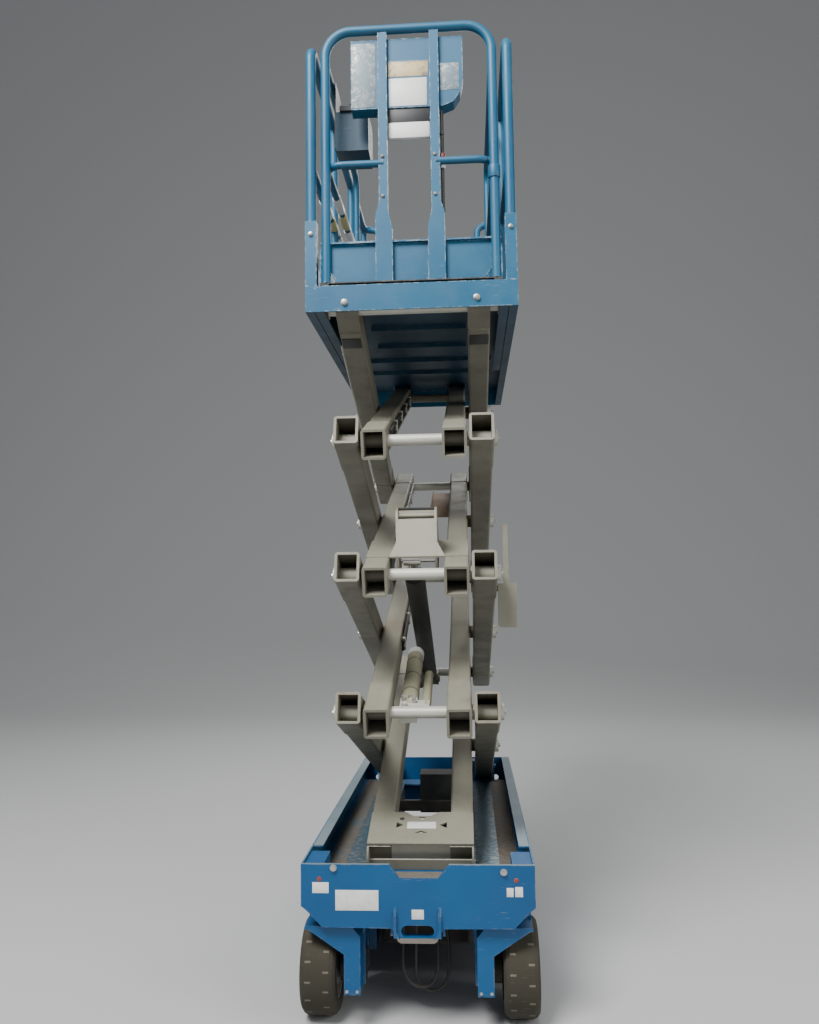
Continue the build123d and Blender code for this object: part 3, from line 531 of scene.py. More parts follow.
def block(
    name: str, low: Sequence[float], high: Sequence[float], round_off: float = 0.001
) -> bpy.types.Object:
    """A rounded block between two corners.

    Args:
        name: object name.
        low: low corner.
        high: high corner.
        round_off: edge rounding.

    Returns:
        The object.
    """
    deselect()
    size = [h - l for l, h in zip(low, high)]
    middle = [(l + h) / 2 for l, h in zip(low, high)]
    bpy.ops.mesh.primitive_cube_add(size=1.0, location=middle, scale=size)
    piece = settle(bpy.context.object, name)
    round_edges(piece, min(round_off, min(size) * THIN_SHARE), 2, 40)
    bpy.ops.object.shade_smooth_by_angle(angle=SMOOTH_ANGLE)
    return piece


def disc(
    name: str, centre: Sequence[float], radius: float, depth: float,
    axis: str = "y", sides: int = 24, round_off: float = 0.0008,
) -> bpy.types.Object:
    """A rounded cylinder.

    Args:
        name: object name.
        centre: its middle.
        radius: its radius.
        depth: its length.
        axis: "x", "y" or "z".
        sides: number of sides.
        round_off: rim rounding.

    Returns:
        The object.
    """
    deselect()
    bpy.ops.mesh.primitive_cylinder_add(
        vertices=sides, radius=radius, depth=depth, location=centre, rotation=AXES[axis])
    piece = settle(bpy.context.object, name)
    round_edges(piece, min(round_off, depth * THIN_SHARE, radius * THIN_SHARE), 2, 50)
    bpy.ops.object.shade_smooth_by_angle(angle=SMOOTH_ANGLE)
    return piece


def merge(pieces: Sequence[bpy.types.Object], name: str) -> bpy.types.Object:
    """Joins objects into one.

    Args:
        pieces: the objects, the first of which is kept.
        name: the result's name.

    Returns:
        The object.
    """
    choose(*pieces)
    if len(pieces) > 1:
        bpy.ops.object.join()
    pieces[0].name = pieces[0].data.name = name
    return pieces[0]


def spread(piece: bpy.types.Object, places: Sequence[Matrix], name: str) -> bpy.types.Object:
    """Puts a piece at several places, each copy with its own mesh, as one object.

    Args:
        piece: the piece, which goes to the first place.
        places: where it and its copies go.
        name: the result's name.

    Returns:
        The joined object.
    """
    made = [piece]
    for place in places[1:]:
        other = piece.copy()
        other.data = piece.data.copy()
        other.data.transform(place)
        bpy.context.scene.collection.objects.link(other)
        made.append(other)
    piece.data.transform(places[0])
    return merge(made, name)


def shifts(*moves: Sequence[float]) -> list[Matrix]:
    """Places that differ from where a piece is drawn by the given moves."""
    return [Matrix.Translation(Vector(move)) for move in moves]


def bolts(
    name: str, places: Sequence[Sequence[float]], size: float, axis: str = "y", out: float = -1.0
) -> bpy.types.Object:
    """Hexagon heads on washers, standing on a face, as one object.

    Args:
        name: object name.
        places: points on the face.
        size: thread size in metres.
        axis: the bolts' axis.
        out: which way they stand out along the axis.

    Returns:
        The object.
    """
    step = Vector(STEPS[axis]) * out * size
    washer = disc(name + "_washer", step * 0.08, size * 1.05, size * 0.22, axis, 16, 0.0004)
    head = disc(name, step * 0.48, size * 0.9, size * 0.62, axis, 6, 0.0007)
    return spread(merge([head, washer], name), shifts(*places), name)


def plates(
    name: str, face: float, edges: Sequence[Edges], proud: float = 0.0006, round_off: float = 0.0002
) -> bpy.types.Object:
    """Thin plates on a face that looks towards -Y, as one object.

    Args:
        name: object name.
        face: where the face is.
        edges: left, right, bottom and top of each plate.
        proud: how far they stand out.
        round_off: edge rounding.

    Returns:
        The object.
    """
    sunk = 0.0004
    made = [block(name, (a, face - proud, c), (b, face + sunk, d), round_off) for a, b, c, d in edges]
    return merge(made, name)


def on_side(side: int, near: float, far: float) -> Span:
    """The range across the machine of something on one side, in rising order."""
    return (near, far) if side > 0 else (-far, -near)


def around(at: Span, radius: float, low: float = -1.0, high: float = 1.0) -> Place:
    """A test for faces round an axis, from low to high off the middle plane."""
    return lambda p: low < abs(p.x) < high and math.hypot(p.y - at[0], p.z - at[1]) < radius


def dress(piece: bpy.types.Object, finish: Finish, body: Body) -> None:
    """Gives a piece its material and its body.

    Args:
        piece: the object.
        finish: its finish.
        body: the body that it rides on.
    """
    piece.data.materials.clear()
    piece.data.materials.append(finish.build())
    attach(piece, body.value)
    LOG.info("made %s on %s", piece.name, body.value)


def paint(node: str, finish: Finish, *parts: tuple[Finish, Place]) -> None:
    """Gives a frame node its finish, and other finishes to some of its faces.

    Args:
        node: the node's name.
        finish: finish of the whole.
        parts: pairs of a finish and a test of a face's middle.
    """
    mesh = NODES[node].data
    mesh.materials.clear()
    for each in (finish, *(p[0] for p in parts)):
        mesh.materials.append(each.build())
    for face in mesh.polygons:
        face.material_index = 0
        for index, (_, inside) in enumerate(parts, 1):
            if inside(face.center):
                face.material_index = index
    LOG.info("painted %s", node)


# ---- free hoses -----------------------------------------------------------------------
@dataclass(frozen=True)
class Hose:
    """A hose that hangs from the chassis and goes back into it.

    Attributes:
        node: the frame node that it takes the place of.
        length: its real length in metres; not used.
        route: control points of its line, from end to end.
        diameter: its thickness.
    """

    node: str
    length: float
    route: tuple[Point, ...]
    diameter: float = 0.010

    def build(self) -> None:
        """Makes the hose as one open NURBS spline with a round section."""
        curve = bpy.data.curves.new(self.node + "_line", "CURVE")
        curve.dimensions, curve.resolution_u = "3D", 10
        curve.bevel_depth, curve.bevel_resolution = self.diameter / 2, 4
        curve.use_fill_caps = True
        spline = curve.splines.new("NURBS")
        spline.points.add(len(self.route) - 1)
        for point, place in zip(spline.points, self.route):
            point.co = (*place, 1.0)
        spline.order_u, spline.use_endpoint_u = 3, True
        curve.materials.append(HOSE.build())
        piece = bpy.data.objects.new(self.node + "_hose", curve)
        bpy.context.scene.collection.objects.link(piece)
        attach(piece, Body.CHASSIS.value)
        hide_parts(self.node)
        LOG.info("laid %s", self.node)


HOSES = (
    Hose("hose_front_1", 0.723, (
        (-0.012, -0.722, 0.400), (-0.012, -0.722, 0.305), (-0.017, -0.728, 0.190),
        (-0.018, -0.735, 0.1036), (0.0136, -0.741, 0.072), (0.0584, -0.741, 0.072),
        (0.090, -0.733, 0.1036), (0.092, -0.718, 0.190), (0.084, -0.700, 0.305),
        (0.084, -0.700, 0.400))),
    Hose("hose_front_2", 0.700, (
        (-0.056, -0.700, 0.400), (-0.056, -0.700, 0.310), (-0.062, -0.716, 0.205),
        (-0.060, -0.738, 0.1234), (-0.0266, -0.752, 0.090), (0.0206, -0.764, 0.090),
        (0.054, -0.768, 0.1234), (0.060, -0.758, 0.205), (0.050, -0.722, 0.310),
        (0.050, -0.722, 0.400))),
)


# ---- the linkage's places -------------------------------------------------------------
@dataclass(frozen=True)
class Linkage:
    """Where the pivots of the folding arms are at rest.

    Attributes:
        arm: pin to pin length.
        stage: height of one stage.
        base: height of the lowest pivots.
        middle: line of the centre pivots.
        inner: bodies of the inner pairs, which rise to the rear, from the lowest.
        outer: bodies of the outer pairs, which fall to the rear, from the lowest.
    """

    arm: float = 1.530
    stage: float = 0.4747
    base: float = 0.4835
    middle: float = 0.05865
    inner: tuple[Body, ...] = (Body.INNER_1, Body.INNER_2, Body.INNER_3, Body.INNER_4)
    outer: tuple[Body, ...] = (Body.OUTER_1, Body.OUTER_2, Body.OUTER_3, Body.OUTER_4)

    @property
    def tilt(self) -> float:
        """Angle of the arms in radians."""
        return math.asin(self.stage / self.arm)

    @property
    def near(self) -> float:
        """Line of the near pivots."""
        return self.middle - self.arm * math.cos(self.tilt) / 2

    @property
    def far(self) -> float:
        """Line of the far pivots."""
        return 2 * self.middle - self.near

    def level(self, number: float) -> float:
        """Height of a row of pivots: 0 for the lowest ends, a half more for the centres."""
        return self.base + number * self.stage

    def on_inner(self, stage: int, point: Vector) -> Span:
        """A point's place in the frame of an inner arm.

        Args:
            stage: 1 for the lowest.
            point: the point.

        Returns:
            Its distance along the arm from the near pivot, and across it.
        """
        y, z = point.y - self.near, point.z - self.level(stage - 1)
        cosine, sine = math.cos(self.tilt), math.sin(self.tilt)
        return y * cosine + z * sine, z * cosine - y * sine

    def fit(self, body: Body, piece: bpy.types.Object, finish: Finish) -> None:
        """Moves a piece drawn along +Y from the near pivot onto an arm, and dresses it.

        Args:
            body: the arm's body.
            piece: the object.
            finish: its finish.
        """
        rises = body in self.inner
        row = self.inner.index(body) if rises else self.outer.index(body) + 1
        turn = Matrix.Rotation(self.tilt if rises else -self.tilt, 4, "X")
        piece.data.transform(Matrix.Translation((0.0, self.near, self.level(row))) @ turn)
        dress(piece, finish, body)


LINK = Linkage()


@dataclass
class ArmStack:
    """The eight arm pairs, their pins and fittings.

    Attributes:
        head: inner and outer face of the pin heads.
        head_radius: radius of the pin heads and of the low shaft's collars.
        collar: both faces of the low shaft's collars.
        tube: half length and radius of the cross tubes.
        bush: both faces of the bushes in the open ends of the outer arms.
        bush_radius: outer radius of those bushes.
        bore: radius of the shaft in them.
        plate_along: range along the arm of the eye bracket's front plate.
        plate_across: its range across the arm.
        plate_half: half its width.
        cables: offset from the middle plane, offset across the arm and radius of each cable.
        cable_runs: stage and range along the arm of each run of cables.
        straps: where the straps are along the arm.
        label_at: front edge of the foot's label.
        conduit: offset from the middle plane, and across the arm, of the top arm's conduit.
        clips: where the conduit's clips are along the arm.
    """

    head: Span = (0.2753, 0.292)
    head_radius: float = 0.0285
    collar: Span = (0.1805, 0.195)
    tube: Span = (0.0995, 0.0229)
    bush: Span = (0.2005, 0.2695)
    bush_radius: float = 0.0268
    bore: float = 0.0175
    plate_along: Span = (0.028, 0.085)
    plate_across: Span = (0.053, 0.20)
    plate_half: float = 0.1
    cables: tuple[Point, ...] = (
        (-0.0925, 0.022, 0.0070), (-0.0945, 0.004, 0.0050), (-0.0935, -0.012, 0.0060))
    cable_runs: tuple[tuple[int, float, float], ...] = (
        (2, 0.60, 1.47), (3, 0.28, 1.47), (4, 0.08, 1.40))
    straps: tuple[float, ...] = (0.32, 0.62, 0.92, 1.22)
    label_at: float = 0.066
    conduit: Span = (-0.2785, -0.040)
    clips: tuple[float, ...] = (0.20, 0.50, 0.95, 1.34)

    def build(self) -> None:
        """Paints the arms and adds the fittings."""
        for stage in range(1, 5):
            self.paint_stage(stage)
        for stage in range(1, 5):
            self.add_keepers(stage)
        for stage, low, high in self.cable_runs:
            self.add_cables(stage, low, high)
        self.add_bracket_fittings()
        self.add_labels()
        self.add_top_arm_fittings()

    def paint_stage(self, stage: int) -> None:
        """Khaki arms, pale cross tubes, bushes and pin heads.

        Args:
            stage: 1 for the lowest.
        """
        centre = (LINK.middle, LINK.level(stage - 0.5))
        near_in, far_in = (LINK.near, LINK.level(stage - 1)), (LINK.far, LINK.level(stage))
        near_out, far_out = (LINK.near, LINK.level(stage)), (LINK.far, LINK.level(stage - 1))

        def heads(*axes: Span) -> list[tuple[Finish, Place]]:
            """Pale pin heads on the given axes."""
            return [(PALE_STEEL, around(at, self.head_radius, self.head[0])) for at in axes]

        inner = [(PALE_STEEL, around(at, self.tube[1], 0.0, self.tube[0])) for at in (near_in, far_in)]
        if stage == 3:
            inner.append((CREAM, self.on_bracket))
        inner.append((PALE_STEEL, around(near_in, self.head_radius, *self.collar)))
        paint(f"inner_arms_{stage}", KHAKI, *inner, *heads(centre, near_in, far_in))
        bush = (CREAM, around(near_out, self.bush_radius, *self.bush))
        shaft = (PALE_STEEL, around(near_out, self.bore))
        paint(f"outer_arms_{stage}", KHAKI, bush, shaft, *heads(near_out, far_out))

    def on_bracket(self, point: Vector) -> bool:
        """Whether a face belongs to the eye bracket's pale front plate."""
        spots = zip(LINK.on_inner(3, point), (self.plate_along, self.plate_across))
        return abs(point.x) < self.plate_half and all(low < at < high for at, (low, high) in spots)

    def add_keepers(self, stage: int) -> None:
        """A bolt on each pin head.

        Args:
            stage: 1 for the lowest.
        """
        inner = [(LINK.middle, LINK.level(stage - 0.5)), (LINK.far, LINK.level(stage))]
        outer = [(LINK.near, LINK.level(stage))]
        if stage == 4:      # the top pins are under the deck
            inner, outer = inner[:1], []
        for body, axes in ((LINK.inner[stage - 1], inner), (LINK.outer[stage - 1], outer)):
            if axes:
                sides = [
                    bolts("keeper", [(side * self.head[1], *at) for at in axes], 0.010, "x", side)
                    for side in (-1, 1)]
                dress(merge(sides, f"pin_bolts_{body.value}"), ZINC, body)

    def add_cables(self, stage: int, low: float, high: float) -> None:
        """Control cables strapped along the inside of a left inner arm.

        Args:
            stage: 1 for the lowest.
            low: where they start along the arm.
            high: where they end.
        """
        name, body = f"cables_{stage}", LINK.inner[stage - 1]
        middle, reach = (low + high) / 2, high - low
        runs = [
            disc(name, (x, middle, off), radius, reach, "y", 12, 0.001)
            for x, off, radius in self.cables]
        LINK.fit(body, merge(runs, name), HOSE)
        strap = block("strap", (-0.1005, 0.0, -0.022), (-0.0840, 0.012, 0.033), 0.002)
        places = shifts(*((0.0, at, 0.0) for at in self.straps if low < at < high))
        LINK.fit(body, spread(strap, places, f"cable_straps_{stage}"), CREAM)

    @staticmethod
    def add_bracket_fittings() -> None:
        """The bumper in the eye bracket's mouth and the stained sheet behind it."""
        bumper = block("bracket_bumper", (-0.0635, 0.100, 0.176), (0.0635, 0.112, 0.214), 0.002)
        LINK.fit(Body.INNER_3, bumper, BLACK)
        sheet = block("cable_sheet", (0.012, 0.86, -0.004), (0.1005, 1.36, 0.0), 0.001)
        fold = block("cable_sheet_fold", (0.012, 0.86, -0.004), (0.016, 1.36, 0.018), 0.001)
        LINK.fit(Body.INNER_3, merge([sheet, fold], "cable_sheet"), RUSTY_KHAKI)

    def add_labels(self) -> None:
        """Blank labels on the foot's top plate and inside an arm."""
        back = self.label_at + 0.040
        foot = block("foot_label", (-0.050, self.label_at, 0.0548), (0.050, back, 0.0556), 0.0003)
        LINK.fit(Body.INNER_1, foot, LABEL)
        inside = block("arm_label", (0.0988, 0.66, -0.030), (0.1003, 0.73, 0.020), 0.0003)
        LINK.fit(Body.INNER_2, inside, LABEL)

    def add_top_arm_fittings(self) -> None:
        """Pads below the top outer arms, and the conduit clipped along the left one."""
        pad = block("pad", (-0.271, 0.10, -0.0535), (-0.199, 0.16, -0.0495), 0.002)
        pads = spread(pad, shifts((0.0, 0.0, 0.0), (0.470, 0.0, 0.0)), "arm_pads")
        LINK.fit(Body.OUTER_4, pads, BLACK)
        x, off = self.conduit
        pipe = disc("conduit_outer_4", (x, 0.77, off), 0.0045, 1.22, "y", 12, 0.001)
        clip = block("clip", (x - 0.0055, 0.0, off - 0.006), (x + 0.004, 0.014, off + 0.006), 0.001)
        clips = spread(clip, shifts(*((0.0, at, 0.0) for at in self.clips)), "clips")
        LINK.fit(Body.OUTER_4, merge([pipe, clips], "conduit_outer_4"), PALE_STEEL)


@dataclass
class LiftCylinder:
    """Barrel and rod of the lift cylinder, the valve manifold and the safety prop.

    Attributes:
        cap_from: where the manifold's white cap starts along the arm.
        block_to: where its pale block ends along the arm.
        line: the manifold's line, across the machine and across the arm.
        bands: where its bands are along the arm.
        ends: each hose end's offset from that line, and its place along the arm.
    """

    cap_from: float = 0.534
    block_to: float = 0.113
    line: Span = (-0.040, -0.022)
    bands: tuple[float, ...] = (0.19, 0.33, 0.47)
    ends: tuple[Span, ...] = ((-0.018, 0.085), (0.004, 0.095), (0.020, 0.072))

    def build(self) -> None:
        """Paints the nodes, and adds the manifold's bright hose ends and bands."""
        paint("lift_cylinder_barrel", DARK_STEEL)
        paint("lift_cylinder_rod", CHROME)
        paint("safety_prop", KHAKI)
        cap = (LABEL, lambda p: LINK.on_inner(2, p)[0] > self.cap_from)
        foot = (PALE_STEEL, lambda p: LINK.on_inner(2, p)[0] < self.block_to)
        paint("valve_manifold", TAN_CASE, cap, foot)
        x, off = self.line
        end = disc("end", (x, 0.0, off + 0.034), 0.008, 0.024, "z", 6, 0.001)
        ends = spread(end, shifts(*((dx, at, 0.0) for dx, at in self.ends)), "manifold_fittings")
        LINK.fit(Body.INNER_2, ends, ZINC)
        band = disc("band", (x, 0.0, off), 0.0322, 0.012, "y", 32, 0.001)
        bands = spread(band, shifts(*((0.0, at, 0.0) for at in self.bands)), "manifold_bands")
        LINK.fit(Body.INNER_2, bands, BARE_STEEL)


FRONT_AXLE: Span = (-0.735, 0.1525)
REAR_AXLE: Span = (0.590, 0.1525)


@dataclass
class Chassis:
    """The pan, its front panel, trays, wheels and steering.

    Attributes:
        floor: height of the pan's floor.
        front: the front panel's face.
        pan_side: inner edge of the pan's side faces.
        wall_top: above this the pan's walls are painted paler.
        panel_top: above this the front panel is worn pale.
        panel_foot: below this the front panel's lip is bare.
        rear: the ladder's rear face.
        labels: left, right, bottom and top of each blank label.
        rungs: top of each ladder rung.
        tray_face: outer face of the swing-out trays.
        seat: radius of the wheel's seat on the yoke.
        yoke_face: front face of the yokes.
        wheels: side, axle and body of each wheel.
        bars: number of tread bars round a tyre.
        shoulders: inner edge of the outer and the inner row of bars.
        posts: places of the battery terminals across and along the tray.
    """

    floor: float = 0.432
    front: float = -0.905
    pan_side: float = 0.361
    wall_top: float = 0.5185
    panel_top: float = 0.5195
    panel_foot: float = 0.2975
    rear: float = 0.915
    labels: tuple[Edges, ...] = (
        (-0.331, -0.279, 0.432, 0.465), (-0.258, -0.122, 0.380, 0.442), (-0.018, 0.020, 0.355, 0.384),
        (0.279, 0.300, 0.425, 0.452), (0.305, 0.329, 0.425, 0.455))
    rungs: tuple[float, ...] = (0.176, 0.324, 0.472)
    tray_face: float = 0.361
    seat: float = 0.0535
    yoke_face: float = -0.880
    wheels: tuple[tuple[int, Span, Body], ...] = (
        (-1, FRONT_AXLE, Body.WHEEL_FRONT_LEFT), (1, FRONT_AXLE, Body.WHEEL_FRONT_RIGHT),
        (-1, REAR_AXLE, Body.WHEEL_REAR_LEFT), (1, REAR_AXLE, Body.WHEEL_REAR_RIGHT))
    bars: int = 32
    shoulders: Span = (0.343, 0.285)
    posts: tuple[Sequence[float], ...] = ((0.224, 0.308), (-0.345, -0.075, 0.215))

    def build(self) -> None:
        """Paints the nodes and adds strips, labels, bolts and grips."""
        self.paint_nodes()
        dress(plates("front_labels", self.front, self.labels), LABEL, Body.CHASSIS)
        self.add_floor_strips()
        self.add_bolts()
        for wheel in self.wheels:
            self.add_tread(*wheel)
        self.add_grips()

    def paint_nodes(self) -> None:
        """Blue panels, dark running gear, tyres and rims."""
        # the pan's walls are painted paler above wall_top
        walls = (PALE_BLUE, lambda p: p.z > self.wall_top)
        sides = (FADED_BLUE, lambda p: abs(p.x) > self.pan_side and p.z > self.floor + 0.001)
        paint("chassis_pan", BLUE, walls, sides)
        lip = (BARE_STEEL, lambda p: p.z < self.panel_foot and p.y < self.front + 0.0045)
        paint("front_panel", BLUE, lip, (PALE_BLUE, lambda p: p.z > self.panel_top))
        for side in ("left", "right"):
            paint(f"yoke_{side}", BLUE, (DARK_STEEL, around(FRONT_AXLE, self.seat)))
            for end in ("front", "rear"):
                paint(f"tyre_{end}_{side}", RUBBER)
                paint(f"rim_{end}_{side}", RIM)
        for node in ("rear_panel_ladder", "tray_left", "tray_right"):
            paint(node, BLUE)
        for node in ("chassis_underframe", "hydraulic_unit", "steer_cylinder"):
            paint(node, DARK_STEEL)
        paint("charger", BLACK)
        paint("battery_pack", BATTERY)
        paint("pothole_guards", DARK_BLUE)
        paint("steer_rod", ZINC)

    def add_floor_strips(self) -> None:
        """Worn slide tracks, rusty edges and the bare sill on the pan's floor."""

        def strip(name: str, across: Span, along: Span, top: float, round_off: float) -> bpy.types.Object:
            """A strip that stands a hair above the floor."""
            low = (across[0], along[0], self.floor - 0.001)
            return block(name, low, (across[1], along[1], self.floor + top), round_off)

        shiny, rusty = [], []
        for side in (-1, 1):
            for across in ((0.186, 0.268), (0.152, 0.186)):
                shiny.append(strip("track", on_side(side, *across), (-0.88, 0.70), 0.0002, 0.0001))
            rusty.append(strip("rusty", on_side(side, 0.268, 0.335), (-0.70, 0.74), 0.0002, 0.0001))
        dress(merge(shiny, "slide_tracks"), SHINY_TRACK, Body.CHASSIS)
        dress(merge(rusty, "rusty_edges"), RUST, Body.CHASSIS)
        sill = strip("sill", (-0.146, 0.146), (-0.890, -0.690), 0.0004, 0.0002)
        dress(sill, BARE_STEEL, Body.CHASSIS)

    def add_bolts(self) -> None:
        """Bolts and round marks on the front panel, and bolts at the feet of the yokes."""
        places = [(x, self.front, z) for x, z in ((-0.264, 0.509), (0.271, 0.499))]
        dress(bolts("front_bolts", places, 0.0105), ZINC, Body.CHASSIS)
        mark = disc("mark", (0.0, self.front - 0.0004, 0.475), 0.0075, 0.0020, "y", 20, 0.0004)
        marks = spread(mark, shifts((-0.309, 0.0, 0.0), (0.309, 0.0, 0.0)), "front_marks")
        dress(marks, RED, Body.CHASSIS)
        for side, body in ((-1, Body.YOKE_LEFT), (1, Body.YOKE_RIGHT)):
            places = [(side * x, self.yoke_face, 0.124) for x in (0.194, 0.227)]
            dress(bolts(f"{body.value}_bolts", places, 0.0050), ZINC, body)

    def add_tread(self, side: int, axle: Span, body: Body) -> None:
        """Worn bars round both shoulders of a solid tyre, turn and turn about.

        Args:
            side: -1 for left, 1 for right.
            axle: the wheel's axle.
            body: the wheel's body.
        """
        rows = []
        for first, edge in enumerate(self.shoulders):
            left, right = on_side(side, edge, edge + 0.019)
            bar = block("bar", (left, -0.0035, 0.1490), (right, 0.0035, 0.1527), 0.0008)
            hub = Matrix.Translation((0.0, *axle))
            turns = [math.tau * step / self.bars for step in range(first, self.bars, 2)]
            rows.append(spread(bar, [hub @ Matrix.Rotation(turn, 4, "X") for turn in turns], "bars"))
        dress(merge(rows, f"{body.value}_bars"), TREAD, body)

    def add_grips(self) -> None:
        """Grip strips on the ladder, tray handles and battery terminals."""
        back, front = self.rear - 0.027, self.rear - 0.004
        strip = block("grip", (-0.186, back, -0.001), (0.186, front, 0.0014), 0.0006)
        strips = spread(strip, shifts(*((0.0, 0.0, top) for top in self.rungs)), "ladder_grips")
        dress(strips, BLACK, Body.CHASSIS)
        for side, body in ((-1, Body.MODULE_LEFT), (1, Body.MODULE_RIGHT)):
            left, right = on_side(side, self.tray_face - 0.001, self.tray_face + 0.0045)
            plate = block("handle", (left, -0.462, 0.352), (right, -0.392, 0.388), 0.0018)
            middle = (side * (self.tray_face + 0.003), -0.427, 0.370)
            pull = disc("pull", middle, 0.010, 0.006, "x", 20, 0.001)
            dress(merge([plate, pull], f"{body.value}_handle"), BLACK, body)
        across, along = self.posts
        post = disc("post", (0.0, 0.0, 0.402), 0.009, 0.014, "z", 16, 0.001)
        posts = spread(post, shifts(*((x, y, 0.0) for y in along for x in across)), "battery_posts")
        dress(posts, ZINC, Body.MODULE_RIGHT)


@dataclass
class Platform:
    """Deck, guard rails, gate and roll-out extension.

    Attributes:
        front: front face of the deck's band and of the main posts.
        box_face: front face of the rail box.
        post_face: front face of the extension's centre posts.
        collar: place of the hoop's collar across and along the machine.
        below: box of the deck's dark underside: half its width, and its front and rear.
        deck_foot: height under which the deck is dark.
        lid: height over which the control box is black.
        cheek: distance from the middle plane past which the control box is black.
        conduit: place of the dark conduit across and along the machine.
        stop: place of the stop button.
        sleeves: name, body, line, radius and range of each row of split sleeves.
    """

    front: float = -0.786
    box_face: float = -0.7587
    post_face: float = -0.777
    collar: Span = (0.297, -0.768)
    below: Point = (0.362, -0.779, 0.865)
    deck_foot: float = 2.4325
    lid: float = 3.1495
    cheek: float = 0.2785
    conduit: Span = (0.1165, -0.7535)
    stop: Span = (-0.198, -0.535)
    sleeves: tuple[tuple[str, Body, float, float, Span], ...] = (
        ("main_sleeves", Body.PLATFORM, -0.350, 0.0182, (-0.50, 0.20)),
        ("extension_sleeves", Body.EXTENSION, -0.297, 0.0162, (-0.52, 0.10)))

    def build(self) -> None:
        """Paints the nodes and adds bolts, panels, sleeves and controls."""
        paint("platform_deck", FADED_BLUE, (DARK_BLUE, self.on_underside))
        for node in ("platform_rails", "entry_gate", "extension_rails", "rail_box"):
            paint(node, FADED_BLUE)
        paint("extension_deck", DARK_STEEL)
        paint("control_box", DARK_BLUE, (BLACK, lambda p: p.z > self.lid or abs(p.x) > self.cheek))
        self.add_bolts()
        self.add_box_panels()
        self.add_conduit()
        for row in self.sleeves:
            self.add_sleeves(*row)
        self.add_controls()

    def on_underside(self, point: Vector) -> bool:
        """Whether a face belongs to the deck's dark underside."""
        half, front, rear = self.below
        return point.z < self.deck_foot and abs(point.x) < half and front < point.y < rear

    def add_bolts(self) -> None:
        """Bolts on the band, the main posts and the centre posts."""
        band = bolts("band", [(-0.232, self.front, 2.376), (0.227, self.front, 2.378)], 0.0115)
        sides = bolts("sides", [(x, self.front, 2.625) for x in (-0.349, 0.349)], 0.0085)
        dress(merge([band, sides], "band_bolts"), ZINC, Body.PLATFORM)
        places = [(x, self.post_face, z) for x in (-0.094, 0.090) for z in (2.902, 2.757)]
        dress(bolts("post_bolts", places, 0.0065), BARE_STEEL, Body.EXTENSION)

    def add_box_panels(self) -> None:
        """Pale panels, an amber strip and a blank label on the rail box, and the pocket below it."""
        pale = (
            (-0.204, -0.118, 3.094, 3.334), (0.112, 0.180, 3.146, 3.246),
            (-0.075, 0.074, 3.258, 3.262))
        rows = (
            ("box_panels", PALE_BLUE, pale),
            ("box_stripe", AMBER, ((-0.072, 0.070, 3.203, 3.258),)),
            ("box_label", LABEL, ((-0.070, 0.065, 3.094, 3.197),)))
        for name, finish, edges in rows:
            dress(plates(name, self.box_face, edges, 0.0009, 0.0003), finish, Body.EXTENSION)
        face = self.box_face
        low, high = (-0.0745, face + 0.004, 3.034), (0.0745, face + 0.018, 3.0895)
        strip = block("pocket_strip", low, high, 0.002)
        dress(strip, BLACK, Body.EXTENSION)
        pocket = block("pocket", (-0.0755, face + 0.001, 2.976), (0.0745, face + 0.024, 3.036), 0.006)
        dress(pocket, LABEL, Body.EXTENSION)

    def add_conduit(self) -> None:
        """A dark conduit with two rings behind the right centre post, and a collar on the hoop."""
        x, y = self.conduit
        pipe = disc("pipe", (x, y, 2.865), 0.0062, 0.410, "z", 14, 0.001)
        clip = block("clip", (x - 0.0135, y - 0.008, 0.0), (x + 0.0075, y + 0.002, 0.012), 0.001)
        clips = spread(clip, shifts((0.0, 0.0, 2.70), (0.0, 0.0, 2.98)), "clips")
        dress(merge([pipe, clips], "post_conduit"), HOSE, Body.EXTENSION)
        red = disc("conduit_red_ring", (x, y, 2.897), 0.0105, 0.030, "z", 20, 0.002)
        dress(red, RED, Body.EXTENSION)
        white = disc("conduit_white_ring", (x, y, 2.867), 0.0100, 0.016, "z", 20, 0.002)
        dress(white, LABEL, Body.EXTENSION)
        collar = disc("hoop_collar", (*self.collar, 2.831), 0.0215, 0.045, "z", 28, 0.003)
        dress(collar, FADED_BLUE, Body.EXTENSION)

    @staticmethod
    def add_sleeves(name: str, body: Body, x: float, radius: float, along: Span) -> None:
        """Split sleeves on a left mid rail, white and yellow by turns.

        Args:
            name: start of the pieces' names.
            body: the rail's body.
            x: the rail's line.
            radius: the sleeves' radius.
            along: where they start and end.
        """
        step = (along[1] - along[0]) / 4
        for tone, finish in enumerate((LABEL, YELLOW)):
            sleeve = disc("sleeve", (x, 0.0, 2.880), radius, step * 0.80, "y", 24, 0.002)
            places = shifts(*((0.0, along[0] + step * (n + 0.45), 0.0) for n in range(tone, 4, 2)))
            dress(spread(sleeve, places, f"{name}_{tone}"), finish, body)

    def add_controls(self) -> None:
        """Stop button on the control box and a grip on the gate."""
        base = disc("stop_base", (*self.stop, 3.170), 0.0185, 0.006, "z", 28, 0.001)
        dress(base, YELLOW, Body.EXTENSION)
        stem = disc("stop_stem", (*self.stop, 3.178), 0.008, 0.012, "z", 20, 0.001)
        cap = disc("stop_button", (*self.stop, 3.188), 0.0150, 0.010, "z", 28, 0.003)
        dress(merge([cap, stem], "stop_button"), RED, Body.EXTENSION)
        grip = disc("gate_grip", (0.105, 0.852, 3.2357), 0.0145, 0.115, "x", 24, 0.002)
        dress(grip, BLACK, Body.GATE)


